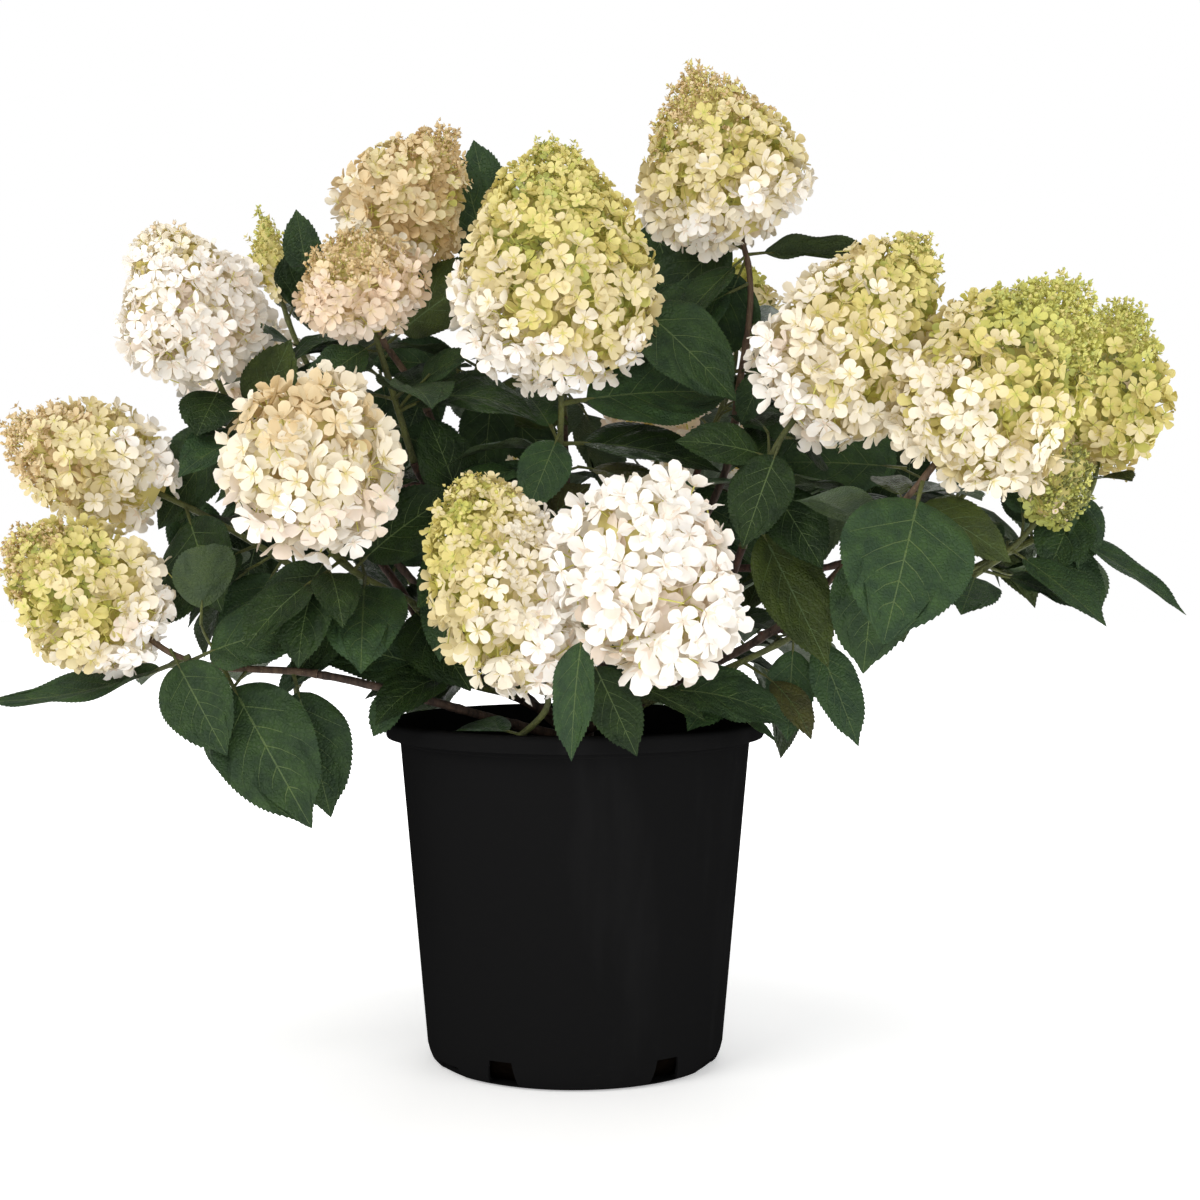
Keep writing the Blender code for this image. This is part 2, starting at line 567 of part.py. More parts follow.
def make_limbs(material):
    """The trunk, then each cane and bough, cut 0.3 mm clear of what it leaves."""
    paths, radii, limbs, helpers, arrivals = {}, {}, {}, {}, {}
    paths["trunk"], radii["trunk"] = trunk_path(), [radius for _, radius in TRUNK_RINGS]
    for cane in CANES:
        arrivals[cane.name] = shoot_start(shoot_of(cane))[1]
        paths[cane.name] = limb_path(cane, paths)
        ends = (BOUGH_RADIUS, BOUGH_TIP_RADIUS) if cane.parent else (CANE_RADIUS, CANE_TIP_RADIUS)
        radii[cane.name] = tapered(*ends, len(paths[cane.name]))
    for name, path in paths.items():
        sides = TRUNK_SIDES if name == "trunk" else LIMB_SIDES
        first = UP if path[0].z < SOIL_TOP + 2 * SEAT_GAP else None
        body = tube(name, path, radii[name], sides, first=first, last=arrivals.get(name))
        limbs[name] = new_object(name, body, [material])
        limbs[name].data.shade_smooth()
        helpers[name] = inflated(f"{name}_seat", path, radii[name], sides)
        helpers[name].hide_render = True
        helpers[name].display_type = "WIRE"
    for cane in CANES:
        parent = cane.parent or "trunk"
        if paths[cane.name][0].z > SOIL_TOP + 2 * SEAT_GAP:
            cut_by(limbs[cane.name], helpers[parent], f"seat_on_{parent}")
    return paths, radii, limbs, helpers


# Leaves


def leaf_line(root, leaf, length):
    """The midrib of a leaf, as (place, way, side, up) at a share of its length: an arc that bends down."""
    way = Vector(leaf.aim).normalized()
    face = Vector(leaf.face)
    up = (face - way * face.dot(way)).normalized()
    side = way.cross(up)
    turn = math.radians(leaf.bend or 0.5)

    def at(share):
        angle = turn * share
        along, down = math.sin(angle) / turn, (1 - math.cos(angle)) / turn
        place = root + (way * along - up * down) * length
        return place, way * math.cos(angle) - up * math.sin(angle), side, up * math.cos(angle) + way * math.sin(angle)

    return at


def leaf_half_width(share):
    """Half width of the blade as a share of its greatest, from the petiole's end at 0 to the tip at 1."""
    return math.sin(math.pi * share**LEAF_WIDEST) ** LEAF_FULLNESS if 0 < share < 1 else 0.0


def leaf_mesh(name, root, leaf, stations, grow=0.0, slot=0, blade_only=False):
    """A closed blade with a folded, lens-shaped section on a short petiole that starts inside its stem."""
    length, width = leaf.length * MM, leaf.width * MM
    line = leaf_line(root, leaf, length)
    thick = max(LEAF_THICKNESS, length * LEAF_THICKNESS_SHARE) / 2 + grow
    points = [line(PETIOLE_SHARE * 0.8 if blade_only else 0)[0]]
    for station in stations:
        place, way, side, up = line(station)
        blade = (station - PETIOLE_SHARE) / (1 - PETIOLE_SHARE)
        half = max(PETIOLE_HALF_WIDTH, width / 2 * leaf_half_width(max(blade, 0))) + grow
        fold = LEAF_FOLD if blade > 0 else 0.0
        out, rise = side * half * math.cos(fold), up * half * math.sin(fold)
        points += [place + out + rise, place + up * thick, place - out + rise, place - up * thick]
    points.append(line(1)[0] + line(1)[1] * grow)
    shifted = points[1:-1] + [points[0], points[-1]]
    faces = rings_and_ends(len(stations), 4, len(shifted) - 2, len(shifted) - 1)
    return mesh_from(name, shifted, faces, slot)


# Flower heads


def head_share(s, taper):
    """Radius of a head as a share of its greatest, at a share s of its length: round, or drawn out to a tip."""
    if not 0 < s < 1:
        return 0.0
    round_share = math.sqrt(4 * s * (1 - s))
    cone_share = math.sin(math.pi * s**CONE_SLANT) ** CONE_FULLNESS
    return round_share * (1 - taper) + cone_share * taper


def head_frame(shoot):
    base, tip = metres(shoot.base), metres(shoot.tip)
    axis = (tip - base).normalized()
    side = axis.cross(VIEWER if abs(axis.y) < 0.9 else UP).normalized()
    return base, axis, side, axis.cross(side), (tip - base).length


def head_point(shoot, s, turn, share=1.0):
    base, axis, side, across, length = head_frame(shoot)
    radius = shoot.radius * MM * head_share(s, shoot.taper) * share
    return base + axis * length * s + (side * math.cos(turn) + across * math.sin(turn)) * radius


def head_solid(name, shoot, share, sides, stations, slot=0):
    """A turned solid on the head's outline, scaled towards the axis."""
    points = []
    for s in stations:
        points += [head_point(shoot, s, 2 * math.pi * i / sides, share) for i in range(sides)]
    points += [head_point(shoot, 0, 0), head_point(shoot, 1, 0)]
    faces = rings_and_ends(len(stations), sides, len(points) - 2, len(points) - 1)
    return mesh_from(name, points, faces, slot)


def floret_mesh(name, shoot, s, turn, spin, slot):
    """One four-petalled floret: a lobed rim on the head's outline, over a root that is sunk in the core."""
    base, axis, side, across, length = head_frame(shoot)
    middle = head_point(shoot, s, turn)
    step = 0.02
    along = (head_point(shoot, s + step, turn) - head_point(shoot, s - step, turn)).normalized()
    around = axis.cross(middle - base - axis * length * s).normalized()
    out = around.cross(along).normalized()
    if out.dot(middle - base - axis * length * 0.4) < 0:
        out = -out
    reach = shoot.radius * MM * FLORET_SHARE
    root = head_point(shoot, s, turn, FLORET_ROOT_SHARE) - out * FLORET_SINK
    rim = []
    for i in range(8):
        angle = spin + i * math.pi / 4
        petal = i % 2 == 0
        span = reach if petal else reach * PETAL_NOTCH_SHARE
        lift = -FLORET_SINK if petal else -FLORET_SINK - FLORET_CUP_SHARE * reach
        rim.append(middle + (along * math.cos(angle) + around * math.sin(angle)) * span + out * lift)
    points = rim + [root, middle - out * FLORET_HEART_SHARE * reach]
    faces = []
    for petal in range(0, 8, 2):
        before, after = (petal - 1) % 8, petal + 1
        faces += [(8, after, petal, before), (9, before, petal), (9, petal, after)]
    return mesh_from(name, points, faces, slot)


def florets_of(shoot, seed):
    """Places of a head's florets: a spiral from near its base to just below its tip."""
    rng = random.Random(seed)
    density = FLORETS_PER_METRE if shoot.leaves else BACK_FLORETS_PER_METRE
    count = max(6, round(density * shoot.radius * MM))
    for i in range(count):
        share = (i + 0.6) / count
        s = FIRST_FLORET + (LAST_FLORET - FIRST_FLORET) * share**FLORET_CROWDING
        yield s, i * GOLDEN_ANGLE, rng.uniform(0, math.pi / 2)


# Keeping masses apart


class Space:
    """What already fills the plant's space, to test a new leaf or floret against."""

    def __init__(self):
        self.taken = []

    def add(self, owner, mesh, bulky=False):
        tree = BVHTree.FromPolygons([v.co.copy() for v in mesh.vertices], [tuple(p.vertices) for p in mesh.polygons])
        low = Vector([min(v.co[i] for v in mesh.vertices) for i in range(3)])
        high = Vector([max(v.co[i] for v in mesh.vertices) for i in range(3)])
        self.taken.append((owner, tree, (low + high) / 2, (high - low).length / 2, bulky))

    def is_free(self, mesh, skip=()):
        """Whether mesh crosses nothing that another owner has put here."""
        corners = [v.co.copy() for v in mesh.vertices]
        tree = BVHTree.FromPolygons(corners, [tuple(p.vertices) for p in mesh.polygons])
        middle = sum(corners, Vector()) / len(corners)
        reach = max((c - middle).length for c in corners)
        for owner, other, centre, radius, bulky in self.taken:
            if owner in skip or (centre - middle).length > radius + reach:
                continue
            if tree.overlap(other) or (bulky and any(inside(other, corner) for corner in corners)):
                return False
        return True


def inside(tree, point):
    """Whether a point is within a closed body: its nearest face then looks away from it."""
    place, normal, _, distance = tree.find_nearest(point, 0.08)
    return place is not None and (point - place).dot(normal) < 0 and distance < 0.05


# Shoots


def stem_path(shoot):
    """The shoot's own stem, from just past its bough's tip to well inside its head."""
    foot, out = shoot_start(shoot)
    base = metres(shoot.base)
    start = foot if shoot.parent else foot + out * SEAT_GAP
    if shoot.tip is None:
        return hermite(start, out, base, (base - foot) + Vector((0, 0, 0.02)), STEM_RINGS)
    axis = (metres(shoot.tip) - base).normalized()
    path = hermite(start, out, base, axis, STEM_RINGS - 1)
    length = (metres(shoot.tip) - base).length
    return path + [base + axis * min(STEM_INTO_HEAD, length * STEM_INTO_HEAD_SHARE)]


def on_path(path, share):
    place = min(max(share, 0.0), 0.9999) * (len(path) - 1)
    low = int(place)
    return path[low].lerp(path[low + 1], place - low), (path[low + 1] - path[low]).normalized()


def rule_leaves(shoot, path, rng):
    """Whorls of three leaves up the stem, each turned from the one below, reaching out and drooping."""
    first = rng.uniform(0, math.pi)
    for node in range(shoot.pairs):
        share = FIRST_WHORL + WHORL_SPAN * node / (shoot.pairs - 1) if shoot.pairs > 1 else 0.5
        _, way = on_path(path, share)
        side = way.cross(UP if abs(way.z) < 0.95 else VIEWER).normalized()
        for turn in WHORL_TURNS:
            angle = first + node * math.pi / 3 + turn + rng.uniform(-0.2, 0.2)
            out = Quaternion(way, angle) @ side
            aim = out + way * rng.uniform(0.25, 0.55) + UP * 0.1
            length = rng.uniform(*RULE_LEAF_LENGTH) / MM
            width = length * rng.uniform(*RULE_LEAF_RATIO)
            face = UP + Vector((out.x, out.y, 0)) * 0.5
            yield Leaf(share, tuple(aim), length, width, tuple(face), rng.uniform(35, 60))


def variations(leaf, way):
    """The leaf as wanted, then swung round its stem, lifted or dropped, and a little shorter, to find room."""
    for size in SIZES_TRIED:
        for lift in LIFTS_TRIED:
            for degrees in TURNS_TRIED:
                swing = Quaternion(way, math.radians(degrees))
                aim = swing @ Vector(leaf.aim).normalized() + UP * lift
                face = swing @ Vector(leaf.face)
                yield Leaf(leaf.at, tuple(aim), leaf.length * size, leaf.width * size, tuple(face), leaf.bend)


def add_leaves(shoot, path, space, parts, rng):
    """Puts each leaf of a shoot where its blade has room, or skips it. Sibling blades stay apart too."""
    own = (f"{shoot.name} stem", f"{shoot.name} whole")
    path = path[:-1] if shoot.tip else path
    for leaf in list(shoot.leaves) + list(rule_leaves(shoot, path, rng)):
        root, way = on_path(path, leaf.at)
        for tried in variations(leaf, way):
            own_shape = WIDE_CUTS if tried.length > WIDE_FROM else OWN_CUTS
            cuts = own_shape if leaf in shoot.leaves else PLAIN_CUTS
            probe = leaf_mesh("probe", root, tried, cuts, LEAF_CLEARANCE, blade_only=True)
            free = space.is_free(probe, own)
            bpy.data.meshes.remove(probe)
            if free:
                blade = leaf_mesh("blade", root, tried, cuts, blade_only=True)
                space.add(shoot.name, blade)
                bpy.data.meshes.remove(blade)
                whole = leaf_mesh(f"{shoot.name}_leaf", root, tried, cuts)
                space.add(own[1], whole)
                parts.append(whole)
                break


def head_parts(shoot, seed, space):
    """A head's core and its florets, less those that would reach into another mass."""
    parts = [head_solid(f"{shoot.name}_core", shoot, CORE_SHARE, CORE_SIDES, CORE_STATIONS, 1)]
    for s, turn, spin in florets_of(shoot, seed):
        floret = floret_mesh(f"{shoot.name}_floret", shoot, s, turn, spin, 1)
        if space.is_free(floret, (shoot.name, f"{shoot.name} stem")):
            parts.append(floret)
        else:
            bpy.data.meshes.remove(floret)
    return parts


def fuse(name, stem, parts, materials):
    """Joins a mass into one body with one Boolean union on a collection, applied, and drops any loose scrap."""
    group = bpy.data.collections.new(f"{name}_parts")
    bpy.context.scene.collection.children.link(group)
    body = new_object(f"{name}_stem", stem, materials)
    for part in parts:
        new_object(part.name, part, materials, group)
    union = body.modifiers.new("fuse", "BOOLEAN")
    union.operation = "UNION"
    union.operand_type = "COLLECTION"
    union.collection = group
    union.solver = "EXACT"
    bpy.context.view_layer.update()
    joined = bpy.data.meshes.new_from_object(body.evaluated_get(bpy.context.evaluated_depsgraph_get()))
    for obj in list(group.objects) + [body]:
        bpy.data.objects.remove(obj, do_unlink=True)
    bpy.data.collections.remove(group)
    drop_scraps(joined)
    joined.name = name
    mass = bpy.data.objects.new(name, joined)
    bpy.context.scene.collection.objects.link(mass)
    return mass


def drop_scraps(mesh):
    """Keeps only the largest connected body of a mesh."""
    shape = bmesh.new()
    shape.from_mesh(mesh)
    bmesh.ops.triangulate(shape, faces=shape.faces)
    left, bodies = set(shape.verts), []
    while left:
        found, edge = set(), [left.pop()]
        while edge:
            vertex = edge.pop()
            found.add(vertex)
            near = {e.other_vert(vertex) for e in vertex.link_edges} & left
            left -= near
            edge += near
        bodies.append(found)
    largest = max(bodies, key=len)
    bmesh.ops.delete(shape, geom=[v for v in shape.verts if v not in largest], context="VERTS")
    shape.to_mesh(mesh)
    shape.free()


def make_shoots(leaf_green, petal_cream, space):
    """Every foliage mass: first all the stems and heads take their space, then the leaves fill what is left."""
    stems, parts = {}, {}
    for shoot in SHOOTS:
        path = stem_path(shoot)
        radii = tapered(STEM_RADIUS, STEM_TIP_RADIUS, len(path))
        first = shoot_start(shoot)[1]
        stems[shoot.name] = tube(f"{shoot.name}_stem", path, radii, STEM_SIDES, first=first)
        space.add(f"{shoot.name} stem", stems[shoot.name])
    for shoot in SHOOTS:
        if shoot.tip:
            outline = head_solid("outline", shoot, OUTLINE_SHARE, CORE_SIDES, CORE_STATIONS)
            space.add(shoot.name, outline, bulky=True)
            bpy.data.meshes.remove(outline)
    for seed, shoot in enumerate(SHOOTS):
        parts[shoot.name] = head_parts(shoot, seed, space) if shoot.tip else []
        for floret in parts[shoot.name][1:]:
            space.add(shoot.name, floret)
    for seed, shoot in enumerate(SHOOTS):
        add_leaves(shoot, stem_path(shoot), space, parts[shoot.name], random.Random(100 + seed))
    masses = {}
    for shoot in SHOOTS:
        masses[shoot.name] = fuse(shoot.name, stems[shoot.name], parts[shoot.name], [leaf_green, petal_cream])
    return masses


def main():
    clear_scene()
    bark = finish("bark", BARK, 0.85)
    pot = make_pot(finish("pot_plastic", BLACK, 0.45))
    soil = make_soil(finish("potting_mix", SOIL_BROWN, 0.95))
    paths, radii, limbs, helpers = make_limbs(bark)
    space = Space()
    space.add(pot.name, pot.data)
    space.add(soil.name, soil.data, bulky=True)
    for name, helper in helpers.items():
        space.add(name, helper.data)
    for shoot in SHOOTS:
        if shoot.parent:
            shoot.foot = on_path(paths[shoot.parent], shoot.at)[0] / MM
    masses = make_shoots(finish("leaf_green", GREEN, 0.5), finish("petal_cream", CREAM, 0.6), space)
    for shoot in SHOOTS:
        if shoot.parent:
            cut_by(masses[shoot.name], helpers[shoot.parent], f"seat_on_{shoot.parent}")


main()
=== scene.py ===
"""Looks of a potted panicle hydrangea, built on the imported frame.

The canes, boughs, shoots and leaves follow the same rule as the solids do, carried to finer twigs, and each
solid is replaced by a detailed piece that stands where it stands. Sizes are in metres, places in the tables
in millimetres. +Z is up and -Y is the plant's front.
"""

import itertools
import json
import math
import random
from bisect import bisect_left
from dataclasses import dataclass, field

import bmesh
import bpy
from bpy.props import FloatProperty, FloatVectorProperty, IntProperty, PointerProperty
from bpy.types import Operator, Panel, PropertyGroup
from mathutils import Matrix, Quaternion, Vector, noise
from mathutils.bvhtree import BVHTree

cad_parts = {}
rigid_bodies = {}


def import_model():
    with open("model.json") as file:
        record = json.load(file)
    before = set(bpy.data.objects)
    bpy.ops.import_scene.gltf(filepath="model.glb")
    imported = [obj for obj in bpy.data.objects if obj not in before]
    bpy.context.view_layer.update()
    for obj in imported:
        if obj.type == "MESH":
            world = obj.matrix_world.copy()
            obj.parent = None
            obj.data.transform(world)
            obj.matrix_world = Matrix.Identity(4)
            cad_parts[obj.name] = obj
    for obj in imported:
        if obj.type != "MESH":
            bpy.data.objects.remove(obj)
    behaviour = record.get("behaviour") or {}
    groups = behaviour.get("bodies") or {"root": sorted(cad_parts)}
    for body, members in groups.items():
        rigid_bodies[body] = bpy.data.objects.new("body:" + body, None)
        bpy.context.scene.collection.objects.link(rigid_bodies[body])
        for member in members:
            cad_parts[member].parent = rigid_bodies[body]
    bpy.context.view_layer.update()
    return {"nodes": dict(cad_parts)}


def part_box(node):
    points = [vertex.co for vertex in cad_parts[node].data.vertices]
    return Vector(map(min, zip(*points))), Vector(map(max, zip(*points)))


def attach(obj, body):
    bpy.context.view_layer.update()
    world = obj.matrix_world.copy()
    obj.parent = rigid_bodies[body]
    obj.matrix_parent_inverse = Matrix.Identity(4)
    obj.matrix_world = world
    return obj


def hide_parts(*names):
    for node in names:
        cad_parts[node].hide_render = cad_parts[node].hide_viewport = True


bl_info = {
    "name": "Potted Panicle Hydrangea",
    "version": (1, 0, 0),
    "blender": (4, 5, 0),
    "location": "3D View > Sidebar > Hydrangea",
    "description": "Dresses the packed hydrangea: pot, bark, stems, leaves and flower heads",
    "category": "Add Mesh",
}

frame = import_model()
POT_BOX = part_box("pot")

MM = 0.001
UP = Vector((0, 0, 1))
VIEWER = Vector((0, -1, 0))
SEAT_GAP = 0.0003
GOLDEN_ANGLE = math.pi * (3 - math.sqrt(5))

# Pot and potting mix, as in the solids
POT_HEIGHT = POT_BOX[1].z
RIM_RADIUS = POT_BOX[1].x
WALL_TOP_RADIUS = 0.1295
WALL_FOOT_RADIUS = 0.1085
WALL_THICKNESS = 0.002
FLOOR_THICKNESS = 0.003
FOOT_RADIUS = 0.100
CORNER_HEIGHT = 0.014
LIP_HEIGHT = 0.0125
WINDOW_ANGLES = (37.0, 152.0, 217.0, 332.0)
NOTCH_ANGLES = (67.0, 122.0, 247.0, 302.0)
SOIL_TOP = POT_HEIGHT - 0.028

# The turned pot's half section, from the foot's middle up the outside and down the inside. The curves of the
# step and the lip are (way out or in, way down or up) from the corner that each one rounds
STEP_HEIGHT = 0.0032
INNER_LIP_DROP = 0.002
INNER_LIP_FOOT = 0.003
FOOT_CURVE = (
    (0.070, 0.0),
    (FOOT_RADIUS - 0.0015, 0.0),
    (FOOT_RADIUS, 0.0001),
    (0.1036, 0.0012),
    (0.1064, 0.0040),
    (0.1083, 0.0085),
)
WALL_HEIGHTS = (0.02, 0.08, 0.14, 0.20)
STEP_CURVE = ((0.0003, 0.0030), (0.0009, 0.0024), (0.0011, 0.0002))
LIP_CURVE = ((0.0026, 0.0002), (0.0010, 0.0007), (0.0004, 0.0020))
LIP_STEPS = 7
INNER_LIP_CURVE = ((-0.0012, 0.0), (0.0006, 0.0004), (0.0016, 0.0014))
INNER_HEIGHTS = (0.16, 0.08, CORNER_HEIGHT)
INNER_CORNER = (0.1045, 0.0056)
# Cuts in the pot's foot: width below, width above, sill and top
DRAIN_WINDOW = (0.024, 0.018, 0.0025, 0.0195)
NOTCH = (0.040, 0.028, -0.005, 0.008)

# Bark crumbs on the mix: size, shape, how far each corner is pulled, how deep they sit, and the bare margin
CRUMB_SIZE = 0.0034
CRUMB_SHAPE = (1, 0.55, 0.30)
CRUMB_PULL = (0.65, 1.2)
CRUMB_SEAT = (-0.0006, 0.0012)
CRUMB_MARGIN = 0.006

# Limbs: radii at foot and tip, a little slimmer than the solids', and points of the solids' centre lines
CANE_RADIUS = (0.0036, 0.0027)
BOUGH_RADIUS = (0.0032, 0.0028)
STEM_RADIUS = (0.0027, 0.0021)
CANE_RINGS = 6
BOUGH_RINGS = 5
STEM_RINGS = 5
# Points of a finished stem and twig, the distance between a limb's rings, and the reach of a joint's swelling
STEM_DETAIL = 26
TWIG_RINGS = 6
LIMB_STEP = 0.0028
JOINT_LENGTH = 0.0035
# The trunk: its lean, its height, and its radius at shares of that
TRUNK_RINGS = 34
TRUNK_LEAN = 0.004
TRUNK_HEIGHT = 0.046
TRUNK_RADII = ((0, 0.0185), (0.12, 0.0155), (0.3, 0.0135), (0.6, 0.0130), (0.9, 0.0125), (1, 0.0105))
# Finer twigs: where they leave a stem, how long they grow, and where their leaves stand, with each one's turn
TWIG_SHARES = (0.26, 0.40, 0.55, 0.70, 0.84)
TWIG_LENGTH = (0.018, 0.046)
TWIG_LEAVES = ((0.55, 1.5), (0.97, -1.0), (0.97, 1.0), (0.99, 0.0))
LONGEST_TWIG = 0.15
# Stems of the older shoots, woody low down: names, and colours of ridge, furrow and speck
BROWN_STEMS = ("shoot_top_right", "shoot_left_low", "shoot_top_left", "shoot_right_front")
STEM_BROWN = ((0.130, 0.080, 0.045), (0.060, 0.035, 0.022), (0.24, 0.17, 0.10))

# Leaves, as in the solids
PETIOLE_SHARE = 0.14
LEAF_FOLD = math.radians(16)
RULE_LEAF_LENGTH = (0.082, 0.112)
RULE_LEAF_RATIO = (0.50, 0.60)
TURNS_TRIED = (0, 8, -8, 16, -16, 28, -28, 42, -42)
FOUND_WITHIN = 0.0008
# Shares of the midrib at which a leaf has to lie in its solid, for the listed leaves and for the rule's
OWN_STATIONS = (0.42, 0.34, 0.76, 0.62)
RULE_STATIONS = (0.34, 0.68)

# The finished blade: shares across it where its rows have points
ACROSS = (0.0, 0.30, 0.62, 1.0)
# How much of the quilting shows at each of these, which the veins follow in straight lines too
QUILT_RISE = tuple((across, math.sin(math.pi * across)) for across in ACROSS)
# Rows this far apart, or further, bulge in full. The rows along the veins sink in place of bulging
QUILT_ROOM = 0.008
SUNK = -0.5
# Half width from which a blade's edge waves in full
FULL_WAVE_WIDTH = 0.016
TOOTH_PEAK = 0.80
LEAST_TOOTH = 0.00015
VEIN_CURVE = 1.18
VEIN_WIDTH = 0.0007
VEIN_STEPS = (0.0, 0.22, 0.46, 0.70, 0.90)
LAST_VEIN = 0.82
STALK_RADIUS = 0.0013

# Parts of a noise's or a net's range that a finish draws in: patches, grain, veinlets, bark, specks and dust
PATCH_EDGES = (0.35, 0.65)
NOISE_RANGE = (0.3, 0.7)
VEINLET_WIDTH = 0.10
VEINLET_SLOPE = 0.30
RIDGE_EDGES = (0.38, 0.62)
SPECK_SCALE = 260.0
SPECK_SIZE = 0.18
DUST_EDGES = (0.55, 0.85)
DUST_MOST = 0.35
# Heights are scaled down by these, so that bark's ridges and the marks on the plastic run upright
BARK_STRETCH = 0.22
DRAG_STRETCH = 0.12


@dataclass
class Leaf:
    """One leaf: where it leaves its stem, the way it points, the way its upper face looks, and its size."""

    at: float
    aim: tuple
    length: float
    width: float
    face: tuple = (0, -0.35, 1)
    bend: float = 35


@dataclass
class Shoot:
    """One foliage mass. It starts at foot, and its flower head runs from base to tip."""

    name: str
    foot: tuple
    base: tuple
    tip: tuple = None
    radius: float = 0
    taper: float = 0.8
    pairs: int = 2
    leaves: list = field(default_factory=list)
    parent: str = None
    at: float = 0.6


@dataclass
class Cane:
    """One woody limb, from the trunk, or from a parent limb at the share `at`, to its shoot's foot."""

    name: str
    shoot: str
    start: tuple = None
    lift: tuple = (0, 0, 1)
    parent: str = None
    at: float = 0.6


@dataclass
class Bloom:
    """How a head is coloured from its base to its tip, and where its open florets give way to buds.

    tip_size is the size of the last florets against the first, size that of the first against the ordinary.
    lean carries the tints of the tip over to one side: to the right above 0, to the left below it.
    """

    tints: tuple
    buds_from: float = 1.0
    bud_tint: str = "lime"
    tip_size: float = 0.6
    size: float = 1.0
    lean: float = 0.0


